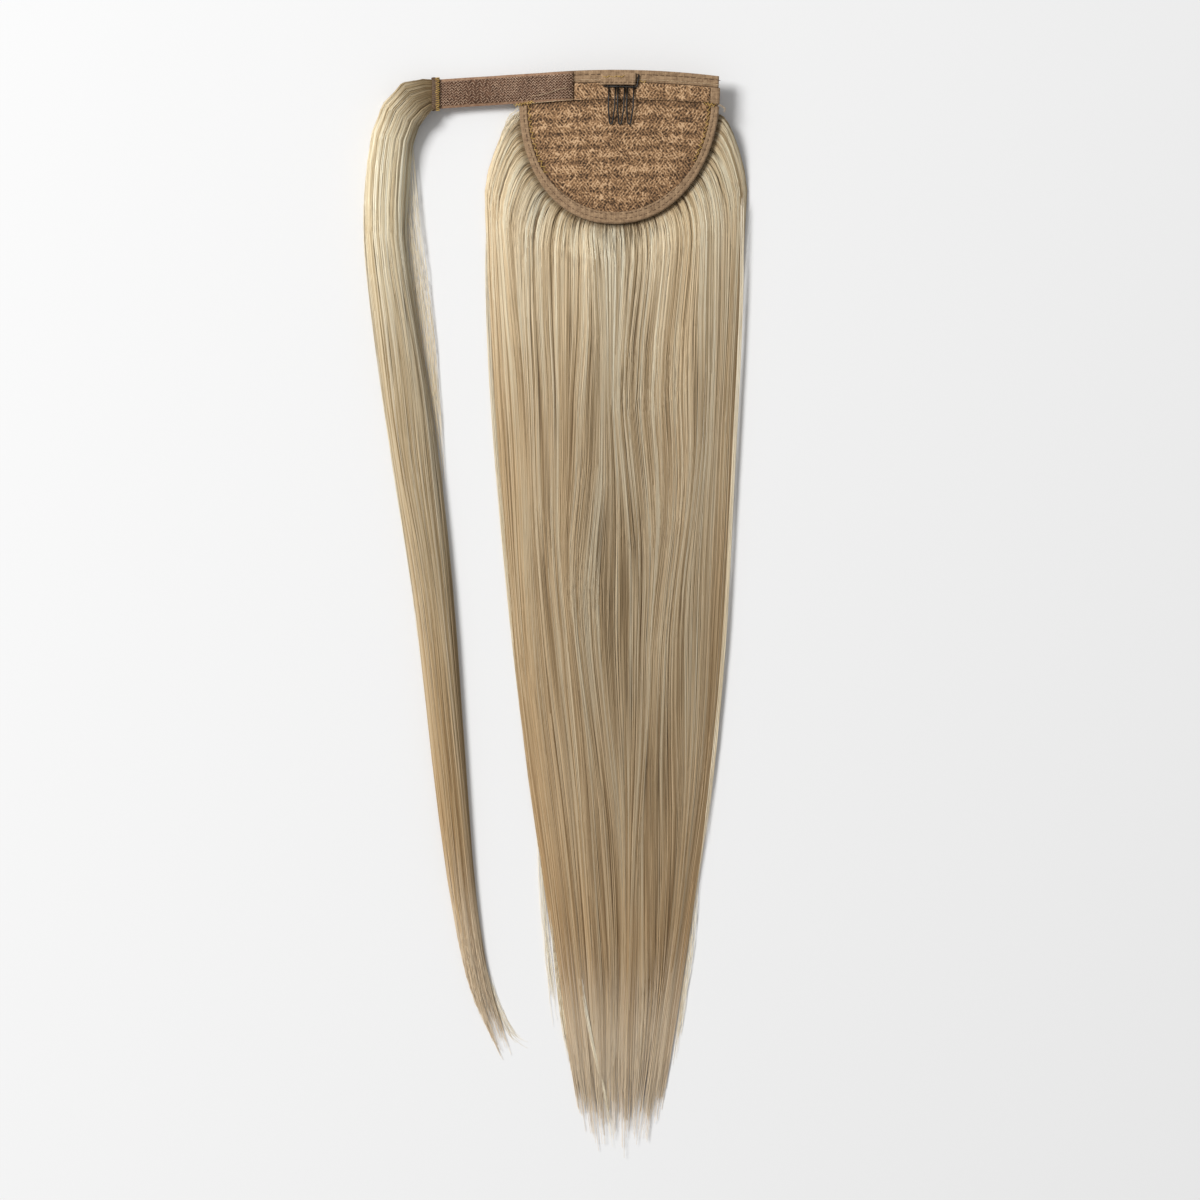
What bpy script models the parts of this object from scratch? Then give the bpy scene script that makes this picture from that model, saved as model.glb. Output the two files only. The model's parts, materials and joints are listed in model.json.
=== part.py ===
"""A wrap-around ponytail hairpiece, laid out flat on a table with its inner side up.

A half-oval cap of stretch lace carries the hair. Its straight edge has a folded hem, its sides and its round
edge a folded tape. A wire comb is held on the hem by a cloth tab. A strap of hook tape runs off to the left,
and a long lock of hair, which wraps round the base of the ponytail when worn, is bound to the strap's end.
"""

import math
from collections import namedtuple

import bmesh
import bpy

# Driving dimensions, in metres. X runs right, Y towards the cap's straight edge and Z up from the table.
# Plan places count from the middle of the straight edge, so everything else lies at negative Y.
GAP = 0.0003                  # between pieces that touch

CAP_HALF_WIDTH = 0.0540
CAP_STRAIGHT = 0.0105         # the sides run straight this far before the half oval starts
CAP_CURVE = 0.0715            # depth of the half oval
CAP_DEPTH = CAP_STRAIGHT + CAP_CURVE
CAP_FULLNESS = 2.15           # 2 would be a half ellipse, and more is squarer
CAP_ARCH = 0.0025             # the straight edge falls back this much at its corners
CAP_TILT = 0.015              # slope of the straight edge, down to the right
CAP_LEAN = 0.035              # slope of the cap's middle line, to the left at the round end
LEFT_CORNER_HEIGHT = 0.0065   # underside of the cap above the table
RIGHT_CORNER_HEIGHT = 0.0135
CAP_DOME = 0.0045             # the middle of the cap stands this much above its edge
DOME_START = 0.018            # the dome falls away from here to the round end

PANEL_THICKNESS = 0.0012
PANEL_COLUMNS = 18
WEFT_PITCH = 0.0078           # rows of hair sewn on behind show as ridges in the lace
WEFT_RIDGE = 0.00045          # height of a ridge
RIDGE_FADE = 0.75             # share of the way to the edge where the ridges start to fade

TAPE_WALL = 0.0006
TAPE_TOP = PANEL_THICKNESS + GAP + TAPE_WALL  # top of a folded tape above the cap's underside
HEM_DEPTH = 0.006
HEM_STATIONS = 20
RIM_DEPTH = 0.0055
RIM_START = 0.0161            # the round edge's tape starts this far down the sides
RIM_STATIONS = 38
SIDE_TAPE_DEPTH = 0.0044

STRIP_LEFT, STRIP_RIGHT = -0.0250, 0.0495
STRIP_BOTTOM = -0.0154
STRIP_THICKNESS = 0.0007
STRIP_COLUMNS = 13            # odd, so that a flat facet lies across the middle
STRIP_TOP = PANEL_THICKNESS + GAP + STRIP_THICKNESS

WIRE_RADIUS = 0.00045
TOOTH_PITCH = 0.0050
TOOTH_COUNT = 3
FIRST_TOOTH = -0.00405
LEG_SPREAD = 0.00175          # half the width of a tooth at its root
TIP_SPREAD = 0.00075          # half its width at the tip
LINK_Y = -0.0040              # the wire turns back here, under the tab
TAPER_Y = -0.0200             # the legs start to close here
TIP_Y = -0.0282
WIRE_LIFT = STRIP_TOP + GAP + WIRE_RADIUS
BOW_START = -0.0085           # below the tab, a tooth bows up
TOOTH_BOW = 0.0011            # by this much at most
SPINE_LIFT = WIRE_LIFT + 1.3 * WIRE_RADIUS  # the spine is soldered into the teeth

TAB_LEFT, TAB_RIGHT = -0.0106, 0.0086
TAB_THICKNESS = 0.0007
TAB_COLUMNS = 8

STRAP_WIDTH = 0.0160
SELVEDGE = 0.0013             # bare edge of the tape, without hooks
TAPE_THICKNESS = 0.0006
HOOK_HEIGHT = 0.0011
STRAP_THICKNESS = TAPE_THICKNESS + HOOK_HEIGHT

SLEEVE_LEFT, SLEEVE_RIGHT = -0.1031, -0.0990
SLEEVE_WALL = 0.0008

HAIR_UNDER_CAP = TAPE_WALL + 2 * GAP + 0.00005  # the hair's top lies this far below the cap's underside
FIRST_HAIR = 0.105            # angle on the round edge where the outermost hair comes out
ROOT_HALF_WIDTH = 0.036       # the hair fans out from a line this wide under the hem
ROOT_LINE_Y = -0.0085
RIM_CLEARANCE = 0.0016        # the hair starts to rise this far outside the cap's edge
SHOULDER_REACH = 0.0065       # it goes straight out about this far before it bends down
JOIN_ARCH = 0.040             # the bend ends this much further down at the middle than at the sides
JOIN_PULL = 0.70              # share of the way down from the edge where the bend is nearly done
LOCK_COUNT = 10
COLUMNS_PER_LOCK = 4
TIP_NOTCH = 0.022             # the hair between two locks ends this much earlier
TIP_LAST = -0.5924            # the longest tips
TIP_FIRST = -0.5560           # the outermost tips
LEAST_HAIR = 0.0012           # thickness of the thinnest hair
GROOVE_AT_CAP, GROOVE_AT_TIP = 0.05, 0.60  # groove between locks, as a share of the thickness
EDGE_SHARE = 0.35             # how evenly the locks spread over the width, from 0 to 1

WRAP_LOCKS = 4
WRAP_COLUMNS_PER_LOCK = 3
WRAP_GROOVE = 0.10
WRAP_STATIONS = 42
STATION_CROWDING = 1.5        # more than 1 crowds the stations towards the bend at the strap

# The fall below the cap: its left and right edge and its thickness at places down its length.
FallRow = namedtuple("FallRow", "y left right thickness")
FALL = (
    FallRow(-0.0644, -0.0745, 0.0700, 0.0120),
    FallRow(-0.1249, -0.0725, 0.0665, 0.0112),
    FallRow(-0.2239, -0.0655, 0.0620, 0.0095),
    FallRow(-0.3559, -0.0545, 0.0540, 0.0082),
    FallRow(-0.4714, -0.0380, 0.0385, 0.0068),
    FallRow(-0.5540, -0.0265, 0.0260, 0.0045),
    FallRow(-0.5924, -0.0225, 0.0220, 0.0014),
)

# The rounded end of the bundle, from its root line to the round edge: how much lower than the cap its upper
# side lies, and the height of its lower side.
RootRow = namedtuple("RootRow", "share drop low")
ROOT = (
    RootRow(0.00, 0.0035, 0.0055),
    RootRow(0.05, 0.0008, 0.0022),
    RootRow(0.16, 0.0, 0.0004),
    RootRow(0.32, 0.0, 0.0),
    RootRow(0.65, 0.0, 0.0),
    RootRow(1.00, 0.0, 0.0),
)

# The wrap lock from the strap's end to its tip: its middle, width, and the heights of its lower and upper side.
WrapRow = namedtuple("WrapRow", "x y width low high")
WRAP = (
    WrapRow(-0.1012, -0.0116, 0.0160, 0.0075, 0.0092),
    WrapRow(-0.1036, -0.0117, 0.0162, 0.0075, 0.0092),
    WrapRow(-0.1075, -0.0127, 0.0205, 0.0055, 0.0114),
    WrapRow(-0.1125, -0.0151, 0.0232, 0.0026, 0.0134),
    WrapRow(-0.1174, -0.0193, 0.0236, 0.0006, 0.0144),
    WrapRow(-0.1207, -0.0245, 0.0235, 0.0000, 0.0147),
    WrapRow(-0.1251, -0.0358, 0.0235, 0.0000, 0.0143),
    WrapRow(-0.1276, -0.0600, 0.0243, 0.0000, 0.0130),
    WrapRow(-0.1287, -0.0880, 0.0225, 0.0000, 0.0120),
    WrapRow(-0.1224, -0.1414, 0.0240, 0.0000, 0.0105),
    WrapRow(-0.1119, -0.2129, 0.0250, 0.0000, 0.0092),
    WrapRow(-0.1020, -0.2899, 0.0215, 0.0000, 0.0085),
    WrapRow(-0.0930, -0.3889, 0.0176, 0.0000, 0.0075),
    WrapRow(-0.0858, -0.4550, 0.0138, 0.0000, 0.0060),
    WrapRow(-0.0765, -0.5044, 0.0110, 0.0000, 0.0036),
    WrapRow(-0.0610, -0.5400, 0.0020, 0.0000, 0.0012),
)

# The strap from the cap to the sleeve: its middle line and the height of its underside.
StrapRow = namedtuple("StrapRow", "x y under")
STRAP_ON_CAP = (-0.0258, -0.0330, -0.0400, -0.0470, -0.0560)
STRAP_ON_CAP_Y = (-0.0078, -0.0088)  # its middle line at the first and last of these
STRAP_FREE = (
    StrapRow(-0.0620, -0.0090, 0.0072),
    StrapRow(-0.0700, -0.0095, 0.0065),
    StrapRow(-0.0850, -0.0104, 0.0065),
    StrapRow(-0.0940, -0.0111, 0.0070),
    StrapRow(-0.1006, -0.0116, 0.0075),
)

# The comb's spine wire, along the tab's lower edge and up beside it: plan place and height over the cap.
SpineRow = namedtuple("SpineRow", "x y lift")
SPINE = (
    SpineRow(-0.0088, -0.0084, SPINE_LIFT),
    SpineRow(0.0000, -0.0086, SPINE_LIFT),
    SpineRow(0.0086, -0.0088, SPINE_LIFT),
    SpineRow(0.0094, -0.0084, SPINE_LIFT),
    SpineRow(0.0096, -0.0074, SPINE_LIFT),
    SpineRow(0.0099, -0.0048, SPINE_LIFT - 0.0003),
    SpineRow(0.0102, -0.0020, SPINE_LIFT - 0.0005),
)

# The tab that covers the comb's root: how far its underside stands over the cap, down its depth.
TabRow = namedtuple("TabRow", "y lift")
TAB = (
    TabRow(-0.0010, TAPE_TOP + GAP),
    TabRow(-0.0016, TAPE_TOP + GAP),
    TabRow(-0.0024, WIRE_LIFT + WIRE_RADIUS + GAP),
    TabRow(-0.0050, WIRE_LIFT + WIRE_RADIUS + 1.5 * GAP),
    TabRow(-0.0077, WIRE_LIFT + WIRE_RADIUS + GAP),
)

# Colour, roughness and metallic value of each material.
LACE = ("stretch_lace", "#967858", 0.85, 0.0)
TAPE = ("folded_tape", "#8B7058", 0.80, 0.0)
HOOK_TAPE = ("hook_tape", "#7A604C", 0.60, 0.0)
THREAD = ("bound_thread", "#8A7348", 0.75, 0.0)
HAIR = ("blond_hair", "#B39D7E", 0.45, 0.0)
WIRE = ("enamelled_wire", "#1C1A18", 0.35, 0.6)


def mix(a, b, share):
    return a + (b - a) * share


def smooth_step(value, low, high):
    share = min(1.0, max(0.0, (value - low) / (high - low)))
    return share * share * (3 - 2 * share)


def row_at(rows, keys, key):
    """The row at a key between those given, on a smooth curve through the rows. Keys rise."""
    last = len(keys) - 1
    i = max(0, min(last - 1, sum(k <= key for k in keys) - 1))
    width = keys[i + 1] - keys[i]
    t = min(1.0, max(0.0, (key - keys[i]) / width))

    def slope(n, field):
        low, high = max(0, n - 1), min(last, n + 1)
        return (rows[high][field] - rows[low][field]) / (keys[high] - keys[low])

    def value(field):
        start, end = rows[i][field], rows[i + 1][field]
        bend_in = (2 * t**3 - 3 * t**2 + 1) * start + (t**3 - 2 * t**2 + t) * width * slope(i, field)
        bend_out = (3 * t**2 - 2 * t**3) * end + (t**3 - t**2) * width * slope(i + 1, field)
        return bend_in + bend_out

    return type(rows[0])(*(value(field) for field in range(len(rows[0]))))


def running_length(rows):
    """Distance in plan along a table's rows, from its first."""
    lengths = [0.0]
    for a, b in zip(rows, rows[1:]):
        lengths.append(lengths[-1] + math.hypot(b.x - a.x, b.y - a.y))
    return lengths


# The cap's surface

def cap_height(x, y):
    """Height of the cap's underside over the table, at a place in the cap's own plan."""
    across = x / CAP_HALF_WIDTH
    down = max(0.0, -y - DOME_START) / (CAP_DEPTH - DOME_START)
    edge = mix(LEFT_CORNER_HEIGHT, RIGHT_CORNER_HEIGHT, (across + 1) / 2)
    return edge + CAP_DOME * (1 - across**2 - down**2)


def askew(x, y):
    """Where a place of the cap's own plan lies on the table: the real cap leans and its straight edge bows."""
    left_of_round_end = (1 + y / CAP_DEPTH) ** 2
    bow = CAP_ARCH * (x / CAP_HALF_WIDTH) ** 2 * left_of_round_end
    return x + CAP_LEAN * y, y - bow - CAP_TILT * x * left_of_round_end


def on_cap(x, y, lift):
    """A point that stands lift above the cap's underside."""
    return (*askew(x, y), cap_height(x, y) + lift)


def half_width(y):
    """Half the cap's width at a depth."""
    down = max(0.0, -y - CAP_STRAIGHT) / CAP_CURVE
    return CAP_HALF_WIDTH * max(0.0, 1 - down**CAP_FULLNESS) ** (1 / CAP_FULLNESS)


def rim_point(angle, outside=0.0):
    """A place on the round edge: angle 0 is at the left, pi at the right. outside moves it off the edge."""
    across = abs(math.cos(angle)) ** (2 / CAP_FULLNESS)
    down = max(0.0, math.sin(angle)) ** (2 / CAP_FULLNESS)
    side = -1 if math.cos(angle) > 0 else 1
    out_x = across ** (CAP_FULLNESS - 1) / CAP_HALF_WIDTH
    out_y = down ** (CAP_FULLNESS - 1) / CAP_CURVE
    size = math.hypot(out_x, out_y)
    x = side * (CAP_HALF_WIDTH * across + outside * out_x / size)
    y = -CAP_STRAIGHT - CAP_CURVE * down - outside * out_y / size
    return x, y


# Making solids

def linear(hex_colour):
    """An sRGB hex colour as linear red, green, blue and alpha."""
    channels = (int(hex_colour[i:i + 2], 16) / 255 for i in (1, 3, 5))
    return (*(c / 12.92 if c <= 0.04045 else ((c + 0.055) / 1.055) ** 2.4 for c in channels), 1.0)


def material(name, colour, roughness, metallic):
    found = bpy.data.materials.get(name)
    if found:
        return found
    made = bpy.data.materials.new(name)
    made.use_nodes = True
    shader = made.node_tree.nodes["Principled BSDF"]
    shader.inputs["Base Color"].default_value = linear(colour)
    shader.inputs["Roughness"].default_value = roughness
    shader.inputs["Metallic"].default_value = metallic
    return made


def add_piece(name, data, finish, parent):
    piece = bpy.data.objects.new(name, data)
    data.materials.append(material(*finish))
    bpy.context.scene.collection.objects.link(piece)
    piece.parent = parent
    return piece


def mesh_from(name, bm):
    bmesh.ops.recalc_face_normals(bm, faces=bm.faces)
    mesh = bpy.data.meshes.new(name)
    bm.to_mesh(mesh)
    bm.free()
    mesh.shade_smooth()
    mesh.set_sharp_from_angle(angle=math.radians(40))
    return mesh


def loft(name, rings, finish, parent, closed=False, flat_ends=True):
    """Joins rings of points into one solid. flat_ends fills each end with one face. Otherwise a ring is an upper
    row followed by the lower row backwards, and its end is filled with a face between each two points."""
    bm = bmesh.new()
    loops = [[bm.verts.new(point) for point in ring] for ring in rings]
    size = len(loops[0])
    pairs = list(zip(loops, loops[1:]))
    if closed:
        pairs.append((loops[-1], loops[0]))
    for a, b in pairs:
        for i in range(size):
            j = (i + 1) % size
            bm.faces.new((a[i], a[j], b[j], b[i]))
    for end in () if closed else (loops[0], loops[-1]):
        if flat_ends:
            bm.faces.new(end)
            continue
        for i in range(size // 2 - 1):
            bm.faces.new((end[i], end[i + 1], end[-2 - i], end[-1 - i]))
    return add_piece(name, mesh_from(name, bm), finish, parent)


def sheet(name, rows, thickness, finish, parent):
    """A sheet of cloth through rows of points, which are its underside, thickened upwards."""
    bm = bmesh.new()
    grid = [[bm.verts.new(point) for point in row] for row in rows]
    for upper, lower in zip(grid, grid[1:]):
        for i in range(len(upper) - 1):
            bm.faces.new((upper[i], lower[i], lower[i + 1], upper[i + 1]))
    bmesh.ops.recalc_face_normals(bm, faces=bm.faces)
    if sum(face.normal.z for face in bm.faces) < 0:
        bmesh.ops.reverse_faces(bm, faces=bm.faces)
    mesh = bpy.data.meshes.new(name)
    bm.to_mesh(mesh)
    bm.free()
    piece = add_piece(name, mesh, finish, parent)
    wall = piece.modifiers.new("Thickness", "SOLIDIFY")
    wall.thickness = thickness
    wall.offset = 1
    wall.use_even_offset = True
    return piece


def wire(name, points, finish, parent):
    """A round wire along a list of points, as a mesh."""
    curve = bpy.data.curves.new(name, "CURVE")
    curve.dimensions = "3D"
    curve.bevel_depth = WIRE_RADIUS
    curve.bevel_resolution = 1
    curve.use_fill_caps = True
    spline = curve.splines.new("POLY")
    spline.points.add(len(points) - 1)
    for point, place in zip(spline.points, points):
        point.co = (*place, 1)
    guide = bpy.data.objects.new(name + "_guide", curve)
    mesh = bpy.data.meshes.new_from_object(guide)
    bpy.data.objects.remove(guide)
    return add_piece(name, mesh, finish, parent)


# The cap

def panel_rows():
    """Depths of the lace panel's rows: the plain top, then a valley and a crest for each row of hair."""
    rows = [0.0, -HEM_DEPTH, -0.5 * (HEM_DEPTH + DOME_START), -DOME_START]
    count = int((CAP_DEPTH - DOME_START) / (WEFT_PITCH / 2))
    return rows + [-DOME_START - (i + 1) * WEFT_PITCH / 2 for i in range(count)]


def ridge(x, y):
    """How far a row of hair sewn on behind lifts the lace."""
    if y > -DOME_START:
        return 0.0
    from_edge = math.hypot(x / CAP_HALF_WIDTH, (y + DOME_START) / (CAP_DEPTH - DOME_START))
    crest = 0.5 - 0.5 * math.cos(2 * math.pi * (-y - DOME_START) / WEFT_PITCH)
    return WEFT_RIDGE * crest * (1 - smooth_step(from_edge, RIDGE_FADE, 0.9))


def make_panel(parent):
    rows = []
    for y in panel_rows():
        width = half_width(y)
        places = [width * (2 * i / PANEL_COLUMNS - 1) for i in range(PANEL_COLUMNS + 1)]
        rows.append([on_cap(x, y, ridge(x, y)) for x in places])
    sheet("lace_panel", rows, PANEL_THICKNESS, LACE, parent)


def folded_tape(name, edge, stations, depth, parent):
    """A tape folded over the cap's edge. edge(share, outside) is a place along the edge, and off it."""
    low, high = -GAP - TAPE_WALL, TAPE_TOP
    outer = GAP + TAPE_WALL
    section = (
        (-depth, high), (GAP, high), (outer, PANEL_THICKNESS), (outer, 0.0), (GAP, low), (-depth, low),
        (-depth, -GAP), (GAP, -GAP), (GAP, PANEL_THICKNESS + GAP), (-depth, PANEL_THICKNESS + GAP),
    )
    rings = []
    for i in range(stations + 1):
        ring = []
        for outside, lift in section:
            x, y = edge(i / stations, outside)
            ring.append(on_cap(x, y, lift))
        rings.append(ring)
    loft(name, rings, TAPE, parent)


def make_tapes(parent):
    def straight_edge(share, outside):
        return CAP_HALF_WIDTH * (2 * share - 1), outside

    def round_edge(share, outside):
        start = math.asin((RIM_START - CAP_STRAIGHT) / CAP_CURVE)
        return rim_point(mix(start, math.pi - start, share), outside)

    folded_tape("top_hem", straight_edge, HEM_STATIONS, HEM_DEPTH, parent)
    folded_tape("rim_tape", round_edge, RIM_STATIONS, RIM_DEPTH, parent)
    top, bottom = -HEM_DEPTH - GAP, GAP - RIM_START
    for name, side in (("left_side_tape", -1), ("right_side_tape", 1)):

        def side_edge(share, outside):
            y = mix(top, bottom, share)
            return side * (half_width(y) + outside), y

        folded_tape(name, side_edge, 2, SIDE_TAPE_DEPTH, parent)


def make_strip(parent):
    """The upper strip of lace, sewn on below the hem, which the hook tape also grips."""
    places = [mix(STRIP_LEFT, STRIP_RIGHT, i / STRIP_COLUMNS) for i in range(STRIP_COLUMNS + 1)]
    rows = [[on_cap(x, y, PANEL_THICKNESS + GAP) for x in places] for y in (-HEM_DEPTH - GAP, STRIP_BOTTOM)]
    sheet("upper_strip", rows, STRIP_THICKNESS, LACE, parent)


# The comb

def tooth_points(middle):
    """One tooth, down its left leg, round its tip and up its right leg: place in the cap's plan and height."""
    depths = [LINK_Y] + [mix(BOW_START, TAPER_Y, share) for share in (0.0, 0.5, 1.0)]
    depths += [mix(TAPER_Y, TIP_Y, share) for share in (0.5, 1.0)]

    def leg(side):
        places = []
        for y in depths:
            spread = mix(LEG_SPREAD, TIP_SPREAD, smooth_step(y, TAPER_Y, TIP_Y))
            bow = TOOTH_BOW * math.sin(math.pi * max(0.0, (y - BOW_START) / (TIP_Y - BOW_START)))
            places.append((middle + side * spread, y, WIRE_LIFT + bow))
        return places

    turn = [math.radians(angle) for angle in (-45, 0, 45)]
    tip = [(middle + TIP_SPREAD * math.sin(a), TIP_Y - TIP_SPREAD * math.cos(a), WIRE_LIFT) for a in turn]
    return leg(-1) + tip + leg(1)[::-1]


def make_comb(parent):
    """Three hairpin teeth bent from one wire, and the spine wire that runs over their roots."""
    route = []
    link = TOOTH_PITCH / 2 - LEG_SPREAD
    for n in range(TOOTH_COUNT):
        middle = FIRST_TOOTH + n * TOOTH_PITCH
        if n:
            turn = [math.radians(angle) for angle in (-45, 0, 45)]
            centre = middle - TOOTH_PITCH / 2
            route += [(centre + link * math.sin(a), LINK_Y + link * math.cos(a), WIRE_LIFT) for a in turn]
        route += tooth_points(middle)
    comb = wire("comb", [on_cap(*place) for place in route], WIRE, parent)
    spine = wire("comb_spine", [on_cap(*place) for place in SPINE], WIRE, parent)
    spine.hide_render = True
    spine.display_type = "WIRE"
    solder = comb.modifiers.new("Solder", "BOOLEAN")
    solder.operation = "UNION"
    solder.object = spine


def make_tab(parent):
    places = [mix(TAB_LEFT, TAB_RIGHT, i / TAB_COLUMNS) for i in range(TAB_COLUMNS + 1)]
    rows = [[on_cap(x, row.y, row.lift) for x in places] for row in TAB]
    sheet("comb_tab", rows, TAB_THICKNESS, TAPE, parent)


# The strap and its binding

def strap_rows():
    rows = []
    first, last = STRAP_ON_CAP[0], STRAP_ON_CAP[-1]
    for x in STRAP_ON_CAP:
        y = mix(*STRAP_ON_CAP_Y, (x - first) / (last - first))
        rows.append(StrapRow(x, y, cap_height(x, y) + TAPE_TOP + GAP))
    return rows + list(STRAP_FREE)


def make_strap(parent):
    half = STRAP_WIDTH / 2
    hooks = half - SELVEDGE
    section = (
        (-half, 0.0), (half, 0.0), (half, TAPE_THICKNESS), (hooks, TAPE_THICKNESS), (hooks, STRAP_THICKNESS),
        (-hooks, STRAP_THICKNESS), (-hooks, TAPE_THICKNESS), (-half, TAPE_THICKNESS),
    )
    rings = [[(row.x, row.y + across, row.under + lift) for across, lift in section] for row in strap_rows()]
    loft("hook_strap", rings, HOOK_TAPE, parent)


def make_sleeve(parent):
    """Whipped thread round the strap's end and the flat root of the wrap lock."""
    end = STRAP_FREE[-1]
    middle_z = end.under + STRAP_THICKNESS / 2

    def ring(x, grow):
        wide = STRAP_WIDTH / 2 + GAP + grow
        tall = STRAP_THICKNESS / 2 + GAP + grow
        cut = grow / 2 + GAP / 2
        corners = (
            (wide - cut, tall), (wide, tall - cut), (wide, cut - tall), (wide - cut, -tall),
            (cut - wide, -tall), (-wide, cut - tall), (-wide, tall - cut), (cut - wide, tall),
        )
        return [(x, end.y + across, middle_z + up) for across, up in corners]

    round_off = SLEEVE_WALL / 2
    rings = [
        ring(SLEEVE_LEFT + round_off, SLEEVE_WALL),
        ring(SLEEVE_RIGHT - round_off, SLEEVE_WALL),
        ring(SLEEVE_RIGHT, round_off),
        ring(SLEEVE_RIGHT, 0.0),
        ring(SLEEVE_LEFT, 0.0),
        ring(SLEEVE_LEFT, round_off),
    ]
    loft("thread_sleeve", rings, THREAD, parent, closed=True)


# The hair

def lock_relief(share, count):
    """1 on the crown of a lock and 0 in the groove between two, at a share of the way across."""
    return abs(math.sin(math.pi * count * share))


def across_fall(angle):
    """How far across the fall the hair from a place on the round edge hangs, from 0 to 1."""
    return mix((1 - math.cos(angle)) / 2, angle / math.pi, EDGE_SHARE)


def fall_at(y):
    keys = [-row.y for row in FALL]
    return row_at(FALL, keys, -y)


def fall_place(angle, y):
    row = fall_at(y)
    return mix(row.left, row.right, across_fall(angle)), y


def bezier(points, share):
    a, b, c, d = (1 - share) ** 3, 3 * share * (1 - share) ** 2, 3 * share**2 * (1 - share), share**3
    return tuple(a * p + b * q + c * r + d * s for p, q, r, s in zip(*points))


def rim_angle(angle):
    """The angle on the round edge where a column of the fall comes out."""
    return mix(FIRST_HAIR, math.pi - FIRST_HAIR, angle / math.pi)


def shoulder_curve(angle):
    """The hair's way from the cap's edge, where it leaves square to it, over into the straight fall."""
    start = askew(*rim_point(rim_angle(angle), RIM_CLEARANCE))
    outward = askew(*rim_point(rim_angle(angle), RIM_CLEARANCE + SHOULDER_REACH))
    join_y = FALL[0].y - JOIN_ARCH * math.sin(angle)
    end = fall_place(angle, join_y)
    above_end = end[0], mix(start[1], join_y, JOIN_PULL)
    return start, outward, above_end, end


def fall_top(angle, y, along):
    """Height of the hair's upper side in the fall. along is 0 at the cap and 1 at the tips."""
    share = across_fall(angle)
    crown = math.sqrt(max(0.0, 1 - abs(2 * share - 1) ** 3))
    groove = mix(GROOVE_AT_CAP, GROOVE_AT_TIP, along**3) * (1 - lock_relief(angle / math.pi, LOCK_COUNT))
    return max(LEAST_HAIR, fall_at(y).thickness * crown * (1 - groove))


def tip_y(angle):
    """Where the hair from a place on the round edge ends: a rounded tip line, notched between the locks."""
    share = across_fall(angle)
    line = mix(TIP_FIRST, TIP_LAST, math.sqrt(max(0.0, 1 - (2 * share - 1) ** 2)))
    return line + TIP_NOTCH * (1 - lock_relief(angle / math.pi, LOCK_COUNT))


HairPoint = namedtuple("HairPoint", "x y top low")


def fall_column(angle):
    """Points down the hair from its root under the cap to its tip, with the heights of both its sides."""
    column = []
    edge = rim_point(rim_angle(angle), RIM_CLEARANCE)
    root = (-ROOT_HALF_WIDTH * math.cos(angle), ROOT_LINE_Y)
    for row in ROOT:
        x, y = mix(root[0], edge[0], row.share), mix(root[1], edge[1], row.share)
        top = cap_height(x, y) - HAIR_UNDER_CAP
        column.append(HairPoint(*askew(x, y), top - row.drop, row.low))
    under_rim = column[-1].top
    curve = shoulder_curve(angle)
    join_y = curve[-1][1]
    for share in (0.16, 0.36, 0.6, 0.8, 1.0):
        x, y = bezier(curve, share)
        level = fall_top(angle, join_y, 0.0)
        column.append(HairPoint(x, y, mix(under_rim, level, smooth_step(share, 0.0, 1.0)), 0.0))
    last_y = tip_y(angle)
    for share in (0.1, 0.21, 0.32, 0.44, 0.56, 0.68, 0.78, 0.86, 0.93, 0.97, 1.0):
        x, y = fall_place(angle, mix(join_y, last_y, share))
        column.append(HairPoint(x, y, fall_top(angle, y, share), 0.0))
    return column


def make_fall(parent):
    count = LOCK_COUNT * COLUMNS_PER_LOCK
    columns = [fall_column(math.pi * i / count) for i in range(count + 1)]
    rings = []
    for row in zip(*columns):
        rings.append([(p.x, p.y, p.top) for p in row] + [(p.x, p.y, p.low) for p in reversed(row)])
    loft("hair_fall", rings, HAIR, parent, flat_ends=False)


def make_wrap_lock(parent):
    keys = running_length(WRAP)
    stations = [keys[0], keys[1]]
    for i in range(1, WRAP_STATIONS + 1):
        stations.append(mix(keys[1], keys[-1], (i / WRAP_STATIONS) ** STATION_CROWDING))
    rows = [row_at(WRAP, keys, key) for key in stations]
    count = WRAP_LOCKS * WRAP_COLUMNS_PER_LOCK
    rings = []
    for i, row in enumerate(rows):
        in_sleeve = i < 2
        before, after = rows[0 if in_sleeve else i - 1], rows[1 if in_sleeve else min(len(rows) - 1, i + 1)]
        ahead_x, ahead_y = after.x - before.x, after.y - before.y
        length = math.hypot(ahead_x, ahead_y)
        side_x, side_y = ahead_y / length, -ahead_x / length
        roundness = smooth_step(stations[i], keys[1], keys[3])
        low = max(0.0, row.low)
        upper, lower = [], []
        for j in range(count + 1):
            across = 2 * j / count - 1
            x, y = row.x + side_x * across * row.width / 2, row.y + side_y * across * row.width / 2
            crown = mix(1.0, math.sqrt(max(0.0, 1 - 0.93 * abs(across) ** 3)), roundness)
            groove = roundness * WRAP_GROOVE * (1 - lock_relief(j / count, WRAP_LOCKS))
            upper.append((x, y, low + (row.high - low) * crown * (1 - groove)))
            lower.append((x, y, low))
        rings.append(upper + lower[::-1])
    loft("wrap_lock", rings, HAIR, parent, flat_ends=False)


def centre_on_origin(frame):
    """Puts the origin at the middle of the whole piece, on the table."""
    bpy.context.view_layer.update()
    graph = bpy.context.evaluated_depsgraph_get()
    places = []
    for piece in frame.children:
        shape = piece.evaluated_get(graph)
        mesh = shape.to_mesh()
        places += [tuple(vertex.co) for vertex in mesh.vertices]
        shape.to_mesh_clear()
    for axis in (0, 1):
        values = [place[axis] for place in places]
        frame.location[axis] = -(min(values) + max(values)) / 2


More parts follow.
